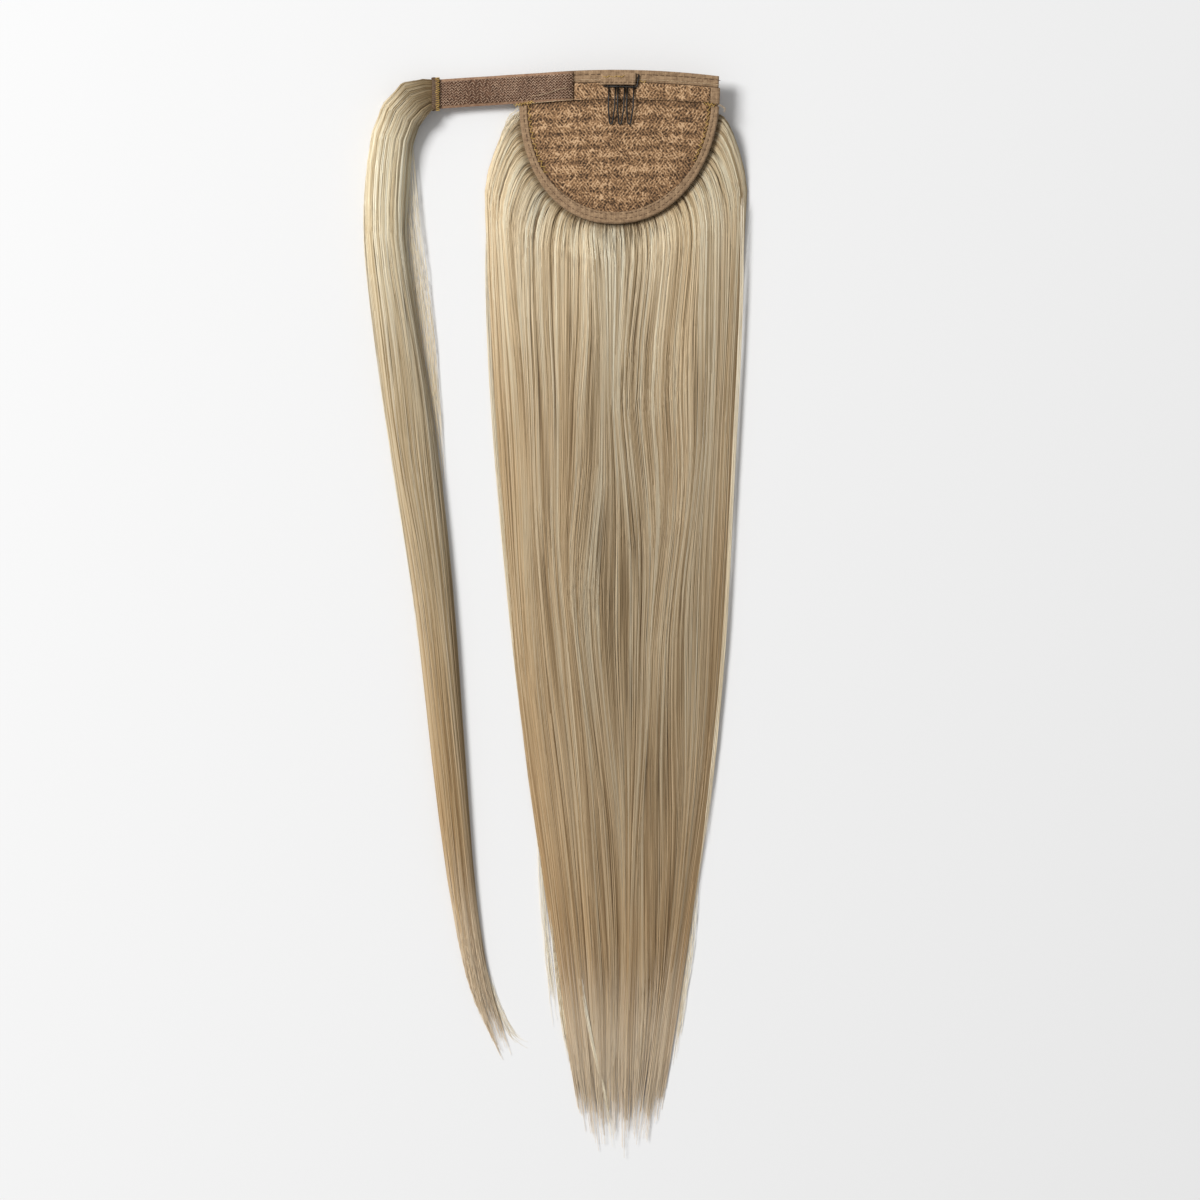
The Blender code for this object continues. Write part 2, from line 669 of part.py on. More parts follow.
def main():
    for old in list(bpy.data.objects):
        bpy.data.objects.remove(old)
    frame = bpy.data.objects.new("hairpiece", None)
    bpy.context.scene.collection.objects.link(frame)
    make_panel(frame)
    make_tapes(frame)
    make_strip(frame)
    make_comb(frame)
    make_tab(frame)
    make_strap(frame)
    make_sleeve(frame)
    make_fall(frame)
    make_wrap_lock(frame)
    centre_on_origin(frame)


main()
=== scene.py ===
"""The looks of the ponytail hairpiece: hair, lace cap, folded tapes, hook strap, wire comb and thread.

It lies on a pale table with the cap's inner side up and is seen from straight above.
"""

import json
import math
from collections import namedtuple

import bmesh
import bpy
import numpy as np
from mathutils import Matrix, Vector, noise
from mathutils.bvhtree import BVHTree


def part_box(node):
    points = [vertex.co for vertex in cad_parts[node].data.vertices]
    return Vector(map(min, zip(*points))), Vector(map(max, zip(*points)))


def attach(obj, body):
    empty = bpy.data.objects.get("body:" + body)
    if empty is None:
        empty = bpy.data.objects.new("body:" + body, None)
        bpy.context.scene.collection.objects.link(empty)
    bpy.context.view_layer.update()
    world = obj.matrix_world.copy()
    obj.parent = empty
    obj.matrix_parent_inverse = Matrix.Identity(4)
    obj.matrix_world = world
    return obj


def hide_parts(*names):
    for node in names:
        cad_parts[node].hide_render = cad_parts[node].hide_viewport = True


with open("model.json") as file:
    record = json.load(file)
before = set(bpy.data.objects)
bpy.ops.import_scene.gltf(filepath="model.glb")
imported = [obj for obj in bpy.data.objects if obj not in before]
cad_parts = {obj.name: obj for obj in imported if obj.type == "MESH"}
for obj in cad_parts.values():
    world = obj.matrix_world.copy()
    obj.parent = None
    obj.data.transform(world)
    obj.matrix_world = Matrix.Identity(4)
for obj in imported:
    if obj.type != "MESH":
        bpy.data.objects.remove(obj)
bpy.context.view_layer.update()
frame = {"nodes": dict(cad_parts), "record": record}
NODES = frame["nodes"]
MM = 0.001


def in_mm(kind, *rows):
    """The rows of a table that is written in millimetres."""
    return tuple(kind(*(value * MM for value in row)) for row in rows)


# Driving dimensions of the cap, in its own plan: X across it and Y up to the middle of its straight edge.
CAP_HALF_WIDTH = 54 * MM
CAP_STRAIGHT = 10.5 * MM
CAP_CURVE = 71.5 * MM
CAP_DEPTH = CAP_STRAIGHT + CAP_CURVE
CAP_FULLNESS = 2.15
CAP_ARCH = 2.5 * MM
CAP_TILT = 0.015
CAP_LEAN = 0.035
LEFT_CORNER_HEIGHT = 6.5 * MM
RIGHT_CORNER_HEIGHT = 13.5 * MM
CAP_DOME = 4.5 * MM
DOME_START = 18 * MM
PANEL_THICKNESS = 1.2 * MM
WEFT_PITCH = 7.8 * MM
WEFT_RIDGE = 0.45 * MM
GAP = 0.3 * MM
TAPE_WALL = 0.6 * MM
TAPE_TOP = PANEL_THICKNESS + GAP + TAPE_WALL
HEM_DEPTH = 6 * MM
RIM_DEPTH = 5.5 * MM
RIM_START = 16.1 * MM
SIDE_TAPE_DEPTH = 4.4 * MM
STRIP_LEFT, STRIP_RIGHT = -25 * MM, 49.5 * MM
STRIP_BOTTOM = -15.4 * MM
STRIP_THICKNESS = 0.7 * MM
STRIP_TOP = PANEL_THICKNESS + GAP + STRIP_THICKNESS
WIRE_TOP = STRIP_TOP + GAP + 0.9 * MM
TAB_LEFT, TAB_RIGHT = -10.6 * MM, 8.6 * MM
TAB_THICKNESS = 0.7 * MM

# The strap: its middle line in the cap's plan and the height of its underside.
STRAP_WIDTH = 16 * MM
SELVEDGE = 1.3 * MM
STRAP_BASE = 0.6 * MM
HOOK_HEIGHT = 1.1 * MM
PILE_SHARE = 0.35             # of the hooks' height, how high the base's middle stands
StrapRow = namedtuple("StrapRow", "x y under")
STRAP_ON_CAP = (-25.8 * MM, -33 * MM, -40 * MM, -47 * MM, -56 * MM)
STRAP_ON_CAP_Y = (-7.8 * MM, -8.8 * MM)
STRAP_FREE = in_mm(
    StrapRow,
    (-62, -9, 7.2), (-70, -9.5, 6.5), (-85, -10.4, 6.5), (-94, -11.1, 7), (-100.6, -11.6, 7.5),
)
SLEEVE_LEFT, SLEEVE_RIGHT = -103.1 * MM, -99.0 * MM
SLEEVE_WALL = 0.8 * MM

# The strap's face is a mount, so it says where the cap's plan lies in the frame.
STRAP_FACE_IN_PLAN = (-77.5 * MM, -9.95 * MM)
STRAP_FACE = next(m["pos_m"] for m in frame["record"]["mounts"] if m["name"] == "strap_face")
SHIFT_X = STRAP_FACE[0] - STRAP_FACE_IN_PLAN[0]
SHIFT_Y = STRAP_FACE[1] - STRAP_FACE_IN_PLAN[1]

# The fall of hair
FIRST_HAIR = 0.105            # angle on the round edge where the outermost hair comes out
RIM_CLEARANCE = 1.6 * MM
SHOULDER_REACH = 6.5 * MM
JOIN_Y = -64.4 * MM           # the outermost hair is straight from here down
JOIN_ARCH = 40 * MM
JOIN_PULL = 0.70
EDGE_SHARE = 0.35
LOCK_COUNT = 10
TIP_NOTCH = 1.5 * MM
TIP_START = -546 * MM          # below this the sides go straight on instead of closing to a point
TIP_NARROWING = 0.17
FALL_END = -600 * MM
SIDE_END = -586 * MM


def mix(a, b, share):
    return a + (b - a) * share


def smooth_step(value, low, high):
    share = min(1.0, max(0.0, (value - low) / (high - low)))
    return share * share * (3 - 2 * share)


# The cap's surface, by the same rule as its solids

def cap_height(x, y):
    """Height of the cap's underside over the table."""
    across = x / CAP_HALF_WIDTH
    down = max(0.0, -y - DOME_START) / (CAP_DEPTH - DOME_START)
    edge = mix(LEFT_CORNER_HEIGHT, RIGHT_CORNER_HEIGHT, (across + 1) / 2)
    return edge + CAP_DOME * (1 - across**2 - down**2)


def askew(x, y):
    """Where a place of the cap's plan lies in the frame."""
    left_of_round_end = (1 + y / CAP_DEPTH) ** 2
    bow = CAP_ARCH * (x / CAP_HALF_WIDTH) ** 2 * left_of_round_end
    return x + CAP_LEAN * y + SHIFT_X, y - bow - CAP_TILT * x * left_of_round_end + SHIFT_Y


def on_cap(x, y, lift):
    return Vector((*askew(x, y), cap_height(x, y) + lift))


def half_width(y):
    down = max(0.0, -y - CAP_STRAIGHT) / CAP_CURVE
    return CAP_HALF_WIDTH * max(0.0, 1 - down**CAP_FULLNESS) ** (1 / CAP_FULLNESS)


def rim_point(angle, outside=0.0):
    """A place on the round edge: angle 0 is at the left, pi at the right. outside moves it off the edge."""
    across = abs(math.cos(angle)) ** (2 / CAP_FULLNESS)
    down = max(0.0, math.sin(angle)) ** (2 / CAP_FULLNESS)
    side = -1 if math.cos(angle) > 0 else 1
    out_x = across ** (CAP_FULLNESS - 1) / CAP_HALF_WIDTH
    out_y = down ** (CAP_FULLNESS - 1) / CAP_CURVE
    size = math.hypot(out_x, out_y)
    x = side * (CAP_HALF_WIDTH * across + outside * out_x / size)
    y = -CAP_STRAIGHT - CAP_CURVE * down - outside * out_y / size
    return x, y


# Small tools

def linear(hex_colour):
    """An sRGB hex colour as linear red, green, blue and alpha."""
    channels = (int(hex_colour[i:i + 2], 16) / 255 for i in (1, 3, 5))
    return (*(c / 12.92 if c <= 0.04045 else ((c + 0.055) / 1.055) ** 2.4 for c in channels), 1.0)


def live_output(node):
    return next(output for output in node.outputs if output.enabled)


def add(tree, kind, *values, stops=(), **settings):
    """Adds a node. kind is its type's name without the family's. Its settings are set first. values go to
    its live inputs in order: None leaves one alone, a node gives its first live output, and a socket is
    linked. stops are a colour ramp's places and hex colours."""
    families = ("ShaderNode",) if tree.type == "SHADER" else ("GeometryNode", "FunctionNode", "ShaderNode")
    node = tree.nodes.new(next(family + kind for family in families if hasattr(bpy.types, family + kind)))
    for name, value in settings.items():
        setattr(node, name, value)
    sockets = [socket for socket in node.inputs if socket.enabled]
    for socket, value in zip(sockets, values):
        if value is None:
            continue
        if isinstance(value, bpy.types.Node):
            value = live_output(value)
        if isinstance(value, bpy.types.NodeSocket):
            tree.links.new(value, socket)
        else:
            socket.default_value = value
    for number, (place, colour) in enumerate(stops):
        points = node.color_ramp.elements
        point = points[number] if number < len(points) else points.new(place)
        point.position = place
        point.color = linear(colour)
    return node


def mesh_of(name, points, faces, smooth=True):
    mesh = bpy.data.meshes.new(name)
    mesh.from_pydata([tuple(point) for point in points], [], faces)
    if smooth:
        mesh.shade_smooth()
    return mesh


def store_values(mesh, label, values):
    """Stores a value for each point of a mesh."""
    mesh.attributes.new(label, "FLOAT", "POINT").data.foreach_set("value", values)


def link_object(name, mesh, *materials):
    piece = bpy.data.objects.new(name, mesh)
    bpy.context.scene.collection.objects.link(piece)
    for material in materials:
        mesh.materials.append(material)
    return piece


def remove_object(piece):
    mesh = piece.data
    bpy.data.objects.remove(piece)
    bpy.data.meshes.remove(mesh)


def keep_piece(piece, slot, *replaced):
    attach(piece, "root")
    if replaced:
        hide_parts(*replaced)
    return piece


def face_outwards(source, mesh, join=False):
    """Copies a mesh into another with its faces turned outwards. join also joins its loose triangles."""
    shape = bmesh.new()
    shape.from_mesh(source)
    if join:
        bmesh.ops.remove_doubles(shape, verts=shape.verts, dist=1e-6)
    bmesh.ops.recalc_face_normals(shape, faces=shape.faces)
    shape.to_mesh(mesh)
    shape.free()


def grid_faces(rows, columns, first=0):
    """Quads between the points of a grid that is listed row by row."""
    faces = []
    for i in range(rows - 1):
        for j in range(columns - 1):
            a = first + i * columns + j
            faces.append((a, a + columns, a + columns + 1, a + 1))
    return faces


def closed_patch(name, upper, lower, *materials):
    """A closed sheet between two grids of points of the same size."""
    count, width = len(upper), len(upper[0])
    points = [p for row in upper for p in row] + [p for row in lower for p in row]
    first = count * width
    faces = grid_faces(count, width) + [face[::-1] for face in grid_faces(count, width, first)]
    border = list(range(width))
    border += [i * width + width - 1 for i in range(1, count)]
    border += [(count - 1) * width + j for j in range(width - 2, -1, -1)]
    border += [i * width for i in range(count - 2, 0, -1)]
    for a, b in zip(border, border[1:] + border[:1]):
        faces.append((a, b, b + first, a + first))
    mesh = mesh_of(name, points, faces)
    face_outwards(mesh, mesh)
    return link_object(name, mesh, *materials)


def loft(name, rings, *materials, closed=False):
    """A solid through rings of points. Each end is filled, unless the last ring joins the first."""
    size = len(rings[0])
    points = [point for ring in rings for point in ring]
    faces = []
    for k in range(len(rings) if closed else len(rings) - 1):
        a, b = k * size, (k + 1) % len(rings) * size
        for i in range(size):
            j = (i + 1) % size
            faces.append((a + i, a + j, b + j, b + i))
    if not closed:
        faces.append(tuple(range(size)))
        faces.append(tuple(range(len(points) - size, len(points))))
    mesh = mesh_of(name, points, faces)
    face_outwards(mesh, mesh)
    return link_object(name, mesh, *materials)


def grown(name, tree, slot, **inputs):
    """Runs a Geometry Nodes tree on a new object and keeps what it makes as a plain mesh. inputs has a value
    for each of the tree's inputs."""
    piece = bpy.data.objects.new(name, bpy.data.meshes.new(name))
    bpy.context.scene.collection.objects.link(piece)
    modifier = piece.modifiers.new(name, "NODES")
    modifier.node_group = tree
    for socket in tree.interface.items_tree:
        if socket.in_out == "INPUT":
            modifier[socket.identifier] = inputs.pop(socket.name)
    if inputs:
        raise ValueError(f"{name}: {sorted(inputs)} are no inputs of {tree.name}")
    graph = bpy.context.evaluated_depsgraph_get()
    mesh = bpy.data.meshes.new_from_object(
        piece.evaluated_get(graph), preserve_all_data_layers=True, depsgraph=graph
    )
    piece.modifiers.clear()
    piece.data = mesh
    mesh.name = name
    return keep_piece(piece, slot)


def new_tree(name, **labels):
    """An empty Geometry Nodes tree. labels has the names of the inputs of each socket kind. It gives the
    tree, a dictionary of the inputs' sockets by name, and the node that takes the result."""
    tree = bpy.data.node_groups.new(name, "GeometryNodeTree")
    tree.interface.new_socket("Geometry", in_out="OUTPUT", socket_type="NodeSocketGeometry")
    for kind, names in labels.items():
        for label in names.split():
            tree.interface.new_socket(label, in_out="INPUT", socket_type="NodeSocket" + kind)
    entry = tree.nodes.new("NodeGroupInput")
    get = {label: entry.outputs[label] for names in labels.values() for label in names.split()}
    return tree, get, tree.nodes.new("NodeGroupOutput")


def merged_copy(node, name):
    """A CAD node's shape with its loose triangles joined."""
    mesh = bpy.data.meshes.new(name)
    face_outwards(NODES[node].data, mesh, join=True)
    mesh.shade_smooth()
    return mesh


def edges_of(node):
    """The ends of all edges of a CAD node, as an array."""
    mesh = NODES[node].data
    places = np.array([vertex.co for vertex in mesh.vertices])
    pairs = np.array([edge.vertices for edge in mesh.edges])
    return places[pairs]


def extent_at(edges, y):
    """Left and right end of a CAD node at a Y in the frame."""
    a, b = edges[:, 0], edges[:, 1]
    crossing = ((a[:, 1] - y) * (b[:, 1] - y) <= 0) & (a[:, 1] != b[:, 1])
    a, b = a[crossing], b[crossing]
    x = a[:, 0] + (y - a[:, 1]) / (b[:, 1] - a[:, 1]) * (b[:, 0] - a[:, 0])
    return x.min(), x.max()


# Materials

WAVE_SCALE = math.tau / 20      # over a pitch it gives the scale of a Wave texture with that pitch


def new_material(name, roughness, **values):
    """A material with a Principled shader. It gives the tree and the shader too."""
    material = bpy.data.materials.new(name)
    material.use_nodes = True
    shader = material.node_tree.nodes["Principled BSDF"]
    shader.inputs["Roughness"].default_value = roughness
    for label, value in values.items():
        shader.inputs[label.replace("_", " ")].default_value = value
    return material, material.node_tree, shader


def finish_material(tree, shader, colour, height, strength, depth):
    """Links a material's colour, and the relief of a height, with its strength and its depth."""
    tree.links.new(live_output(colour), shader.inputs["Base Color"])
    bump = add(tree, "Bump", strength, depth, None, height)
    tree.links.new(bump.outputs["Normal"], shader.inputs["Normal"])


def hair_material(name, *shades, fade=()):
    """Bleached human hair: strands differ in shade, deep strands and the gaps between bundles are darker
    with painted shade, a band down the length is lighter with a painted sheen, and worn tips are pale.
    """
    material, tree, shader = new_material(name, 0.40, Specular_IOR_Level=0.45)
    tint = add(tree, "Attribute", attribute_name="tint").outputs["Fac"]
    colour = add(tree, "ValToRGB", tint, stops=shades)
    for label, stops in (("hue", HAIR_HUES), ("along", fade or HAIR_FADE_AND_SHEEN), ("gap", HAIR_GAP_SHADE)):
        value = add(tree, "Attribute", attribute_name=label).outputs["Fac"]
        factor = add(tree, "ValToRGB", value, stops=stops)
        colour = add(tree, "Mix", 1.0, colour, factor, data_type="RGBA", blend_type="MULTIPLY")
    tip = add(tree, "Attribute", attribute_name="tip").outputs["Fac"]
    colour = add(tree, "Mix", tip, colour, linear("#F0E2CB"), data_type="RGBA")
    tree.links.new(live_output(colour), shader.inputs["Base Color"])
    return material


def bundle_material(name, dark, light):
    """The hair deeper in the bundle: darker with painted shade, with streaks that run down it."""
    material, tree, shader = new_material(name, 0.6, Specular_IOR_Level=0.3)
    place = add(tree, "TexCoord").outputs["Object"]
    stretch = add(tree, "Mapping", place)
    stretch.inputs["Scale"].default_value = (1500, 14, 1500)
    streaks = add(tree, "TexNoise", stretch, 1.0, 3.0, 0.6)
    shade = add(tree, "ValToRGB", streaks, stops=((0.3, dark), (0.7, light)))
    finish_material(tree, shader, shade, streaks, 0.4, 0.3 * MM)
    return material


def cloth_material(name, dark, light, pitch):
    """Plain woven polyester: fine threads both ways, a little uneven in colour."""
    material, tree, shader = new_material(name, 0.85, Specular_IOR_Level=0.25, Sheen_Weight=0.1)
    place = add(tree, "TexCoord").outputs["Object"]
    threads = []
    for direction in ("X", "Y"):
        wave = add(tree, "TexWave", place, WAVE_SCALE / pitch, 2.0, 2.0, 1.0, 0.5,
                   bands_direction=direction)
        threads.append(wave.outputs["Fac"])
    weave = add(tree, "Math", *threads, operation="MULTIPLY")
    cloud = add(tree, "TexNoise", place, 420.0, 3.0, 0.6)
    level = add(tree, "Math", weave, 0.35, cloud, operation="MULTIPLY_ADD")
    shade = add(tree, "ValToRGB", level, stops=((0.35, dark), (0.85, light)))
    finish_material(tree, shader, shade, weave, 0.5, 0.2 * MM)
    return material


def hook_tape_material():
    """Woven nylon hook tape: reddish brown between the hooks, with smoother and paler selvedges."""
    material, tree, shader = new_material("woven_nylon_hook_tape", 0.8, Specular_IOR_Level=0.3)
    place = add(tree, "TexCoord").outputs["Object"]
    cloud = add(tree, "TexNoise", place, 600.0, 3.0, 0.6)
    edge = add(tree, "Attribute", attribute_name="selvedge").outputs["Fac"]
    field = add(tree, "ValToRGB", cloud, stops=((0.35, "#4A3324"), (0.65, "#765742")))
    border = add(tree, "ValToRGB", cloud, stops=((0.35, "#896750"), (0.65, "#A8876C")))
    shade = add(tree, "Mix", edge, field, border, data_type="RGBA")
    finish_material(tree, shader, shade, cloud, 0.5, 0.2 * MM)
    return material


def lace_material():
    """Stretch lace of fine nylon net with a raised flower pattern: gold threads over dark holes."""
    name, roughness = "nylon_stretch_lace", 0.8
    material, tree, shader = new_material(name, roughness, Specular_IOR_Level=0.3, Sheen_Weight=0.15)
    place = add(tree, "TexCoord").outputs["Object"]
    # The pattern attribute carries the lace's motif, and also a painted highlight on the weft ridges and
    # painted shade between them.
    pattern = add(tree, "Attribute", attribute_name="pattern").outputs["Fac"]
    diagonals = []
    for turn in (38, -38):
        turned = add(tree, "Mapping", place)
        turned.inputs["Rotation"].default_value = (0, 0, math.radians(turn))
        wave = add(tree, "TexWave", turned, WAVE_SCALE / NET_PITCH, 3.0, 2.0, 1.5)
        diagonals.append(wave.outputs["Fac"])
    patch = add(tree, "TexNoise", place, 150.0, 1.0)
    patch = add(tree, "MapRange", patch, 0.46, 0.54, 0.0, 1.0)
    net = add(tree, "Mix", patch, *diagonals)
    warp = add(tree, "TexNoise", place, 260.0, 2.0)
    warp = add(tree, "VectorMath", warp.outputs["Color"], (0.0022, 0.0022, 0.0022), place,
               operation="MULTIPLY_ADD")
    tangle = add(tree, "TexVoronoi", warp, 1 / THREAD_PITCH, feature="DISTANCE_TO_EDGE")
    tangle = add(tree, "MapRange", tangle, 0.02, 0.34, 1.0, 0.0)
    cloud = add(tree, "TexNoise", place, 620.0, 3.0, 0.75)
    level = 0.0
    for part, share in ((net, 0.20), (tangle, 0.30), (pattern, 0.40), (cloud, 0.70)):
        level = add(tree, "Math", part, share, level, operation="MULTIPLY_ADD")
    shade = add(tree, "ValToRGB", level, stops=LACE_SHADES)
    finish_material(tree, shader, shade, level, 0.9, 0.6 * MM)
    return material


def fibre_material(name, roughness, dark, light, scale):
    """Nylon filament or twisted sewing thread: a soft shine and a little change of colour."""
    material, tree, shader = new_material(name, roughness, Specular_IOR_Level=0.4)
    place = add(tree, "TexCoord").outputs["Object"]
    cloud = add(tree, "TexNoise", place, scale, 2.0)
    shade = add(tree, "ValToRGB", cloud, stops=((0.3, dark), (0.7, light)))
    tree.links.new(live_output(shade), shader.inputs["Base Color"])
    return material


def wire_material():
    """Steel wire dipped in black enamel: smooth, with small sharp highlights and faint wear."""
    material, tree, shader = new_material("black_enamelled_steel", 0.45, Specular_IOR_Level=0.4)
    place = add(tree, "TexCoord").outputs["Object"]
    cloud = add(tree, "TexNoise", place, 500.0, 2.0)
    shade = add(tree, "ValToRGB", cloud, stops=((0.4, "#12100E"), (0.8, "#2B2520")))
    finish_material(tree, shader, shade, cloud, 0.2, 0.1 * MM)
    return material


NET_PITCH = 1.45 * MM         # the real net is a third as wide, which is too fine to show
THREAD_PITCH = 1.8 * MM
HAIR_HUES = ((0.0, "#FFF9EE"), (0.5, "#FFFCF6"), (1.0, "#F9FAF9"))
# Colours down a strand's length: the light band a fifth to a third of the way down is a painted sheen, and
# the paler tips are the hair's own colour.
HAIR_FADE_AND_SHEEN = (
    (0.0, "#E8DDCB"), (0.07, "#E0D6C6"), (0.20, "#FFFCF4"), (0.30, "#FFFAF0"), (0.45, "#DCD0BF"),
    (0.62, "#D0C2AF"), (0.86, "#C8B297"), (1.0, "#EED8B8"),
)
# Painted shade in the gaps between bundles and near the roots.
HAIR_GAP_SHADE = ((0.0, "#FFFFFF"), (1.0, "#948672"))
LACE_SHADES = ((0.52, "#3E2B18"), (0.70, "#74563A"), (0.87, "#A27C56"), (1.0, "#CDA982"))
FALL_HAIR = hair_material("bleached_human_hair", (0.0, "#BFAB8B"), (0.5, "#F9EBD1"), (1.0, "#FFFEF2"))
WRAP_HAIR = hair_material("bleached_human_hair_lock", (0.0, "#CDBA98"), (0.5, "#FFF5DC"), (1.0, "#FFFEF4"))
# The wisps are paler than the bundles: painted light shining through single hairs, without the painted sheen
# down the length.
LOOSE_HAIR_PAINTED_LIGHT = hair_material("bleached_human_hair_wisps", (0.0, "#EDE2CB"), (0.5, "#FAF2DF"), (1.0, "#FFFDF4"),
                           fade=((0.0, "#FFFFFF"), (0.5, "#FFFAF0")))
# Darker than the strands: painted shade inside the bundles.
SHADED_DEEP_HAIR = bundle_material("hair_inside_the_bundle", "#5E4C38", "#8C775A")
LACE = lace_material()
TAPE = cloth_material("woven_polyester_tape", "#765D45", "#B29473", 0.9 * MM)
HOOK_BASE = hook_tape_material()
HOOKS = fibre_material("nylon_filament", 0.38, "#A68670", "#CFB196", 300.0)
GOLD = fibre_material("gold_sewing_thread", 0.5, "#9A7838", "#DCB767", 900.0)
BROWN = fibre_material("brown_sewing_thread", 0.6, "#4F3A27", "#6F563C", 900.0)
PALE = fibre_material("pale_sewing_thread", 0.5, "#B09472", "#D8C29F", 900.0)
ENAMEL = wire_material()


# Strands

NoiseRow = namedtuple("NoiseRow", "label per_lock per_metre detail")
SHARED_NOISE = (
    NoiseRow("broad", 0.07, 1.4, 0.0), NoiseRow("streak", 1.1, 6.0, 1.0), NoiseRow("fine", 2.4, 9.0, 1.0),
    NoiseRow("gap", 1.9, 21.0, 1.0), NoiseRow("root", 2.2, 2.0, 0.0), NoiseRow("sway", 0.10, 8.0, 0.0),
)


# How strands lie. Places are shares of a strand's length, and ranges are those of a noise from 0 to 1.
END_CROWDING = 0.35            # under 1, few strands reach the very end
GATHER_CHANGE = (0.06, 0.35)   # over this the gathering at the root gives way to that of the middle
TIP_GATHER_START = 0.80
LOCK_PULL = (0.1, 1.4)         # how strongly the loosest and the tightest lock gather
GAP_RANGE = (0.57, 0.67)       # where a gap opens and where it is full
ROOT_GAP_RANGE = (0.52, 0.63)
FINE_SHARE, OWN_SHARE = 0.62, 0.20
TINT_RANGE, HUE_RANGE = (0.40, 0.60), (0.36, 0.64)
DEEP_SHADE = -0.35             # painted shade: strands deep in the bundle are darker
PALE_TIP_START = 0.90
TAPER_START, TIP_THICKNESS = 0.85, 0.5


def random_values(tree, number, seed, first, step, ranges):
    """Random values of each number, by name. ranges has names and ends. Each seed is a step further on."""
    values = {}
    for offset, (label, low, high) in enumerate(ranges):
        moved = add(tree, "Math", seed, first + step * offset, operation="ADD")
        value = add(tree, "RandomValue", low, high, number, moved, data_type="FLOAT")
        values[label] = value.outputs["Value"]
    return values


def shared_values(tree, get, in_locks, reach):
    """Values that neighbouring strands share, by name."""
    shared = {}
    for offset, row in enumerate(SHARED_NOISE):
        x = add(tree, "Math", in_locks, row.per_lock, operation="MULTIPLY")
        y = add(tree, "Math", reach, row.per_metre, operation="MULTIPLY")
        z = add(tree, "Math", get["lock_seed"], 7.3 * offset, operation="ADD")
        spot = add(tree, "CombineXYZ", x, y, z)
        shared[row.label] = add(tree, "TexNoise", spot, 1.0, row.detail).outputs["Fac"]
    return shared


def draw_together(tree, get, in_locks, across, down):
    """Where strands lie across the bundle once their locks have drawn together, and how far each one is from
    the middle of its lock."""
    lock = add(tree, "Math", in_locks, operation="FLOOR")
    ranges = (("middle", 0.0, 1.0), ("pull", 0.0, 1.0))
    of_lock = random_values(tree, lock, get["lock_seed"], 201.0, 13.0, ranges)
    middle = add(tree, "Math", lock, of_lock["middle"], operation="ADD")
    off_middle = add(tree, "Math", in_locks, middle, operation="SUBTRACT")
    middle = add(tree, "Math", middle, get["locks"], operation="DIVIDE")
    gather = add(tree, "MapRange", down, *GATHER_CHANGE, get["root_gather"], get["middle_gather"],
                 interpolation_type="SMOOTHSTEP")
    gather = add(tree, "MapRange", down, TIP_GATHER_START, 1.0, gather, get["tip_gather"],
                 interpolation_type="SMOOTHSTEP")
    pull = add(tree, "MapRange", of_lock["pull"], 0.0, 1.0, *LOCK_PULL)
    gather = add(tree, "Math", gather, pull, operation="MULTIPLY")
    gathered = add(tree, "Mix", gather, across, middle)
    return gathered, off_middle


def sway_together(tree, get, shared, number, across, gathered, down):
    """Strands sway together, less towards the bundle's sides, and each one wanders by itself."""
    sway = add(tree, "Math", shared["sway"], 0.5, operation="SUBTRACT")
    sway = add(tree, "Math", sway, get["sway"], operation="MULTIPLY")
    side = add(tree, "Math", 1.0, across, operation="SUBTRACT")
    side = add(tree, "Math", side, across, operation="MULTIPLY")
    sway = add(tree, "Math", sway, side, operation="MULTIPLY")
    sway = add(tree, "Math", sway, 4.0, gathered, operation="MULTIPLY_ADD")
    wander = add(tree, "Math", number, 7.31, operation="MULTIPLY")
    wander_down = add(tree, "Math", down, 5.0, operation="MULTIPLY")
    wander = add(tree, "CombineXYZ", wander, wander_down, get["seed"])
    wander = add(tree, "TexNoise", wander, 1.0, 1.0).outputs["Fac"]
    wander = add(tree, "Math", wander, 0.5, operation="SUBTRACT")
    wander = add(tree, "Math", wander, get["wander"], sway, operation="MULTIPLY_ADD")
    wandered = add(tree, "Clamp", wander, 0.003, 0.997)
    return wandered


def gaps_with_painted_shade(tree, get, shared, reach):
    """Gaps between strands: long thin ones anywhere, and short ones where the hair leaves its root. The
    strands in them lie lower, and the material darkens them with painted shade. edge_shade adds painted
    shade near the root, over shaded_reach from it.
    """
    gap = add(tree, "MapRange", shared["gap"], *GAP_RANGE, 0.0, get["gaps"],
              interpolation_type="SMOOTHSTEP")
    root_end = add(tree, "Math", shared["broad"], 2.0, operation="MULTIPLY")
    root_end = add(tree, "Math", root_end, get["root_gaps"], operation="MULTIPLY")
    near_root = add(tree, "MapRange", reach, 0.0, root_end, 1.0, 0.0, interpolation_type="SMOOTHSTEP")
    root_gap = add(tree, "MapRange", shared["root"], *ROOT_GAP_RANGE, 0.0, 1.0,
                   interpolation_type="SMOOTHSTEP")
    root_gap = add(tree, "Math", root_gap, near_root, operation="MULTIPLY")
    gap = add(tree, "Math", gap, root_gap, operation="MAXIMUM")
    # Painted shade near the root: under the cap's edge on the fall and at the sleeve on the wrap lock.
    near_root_shade = add(tree, "MapRange", reach, 0.0, get["shaded_reach"], get["edge_shade"], 0.0)
    gap = add(tree, "Math", gap, near_root_shade, operation="MAXIMUM")
    return gap


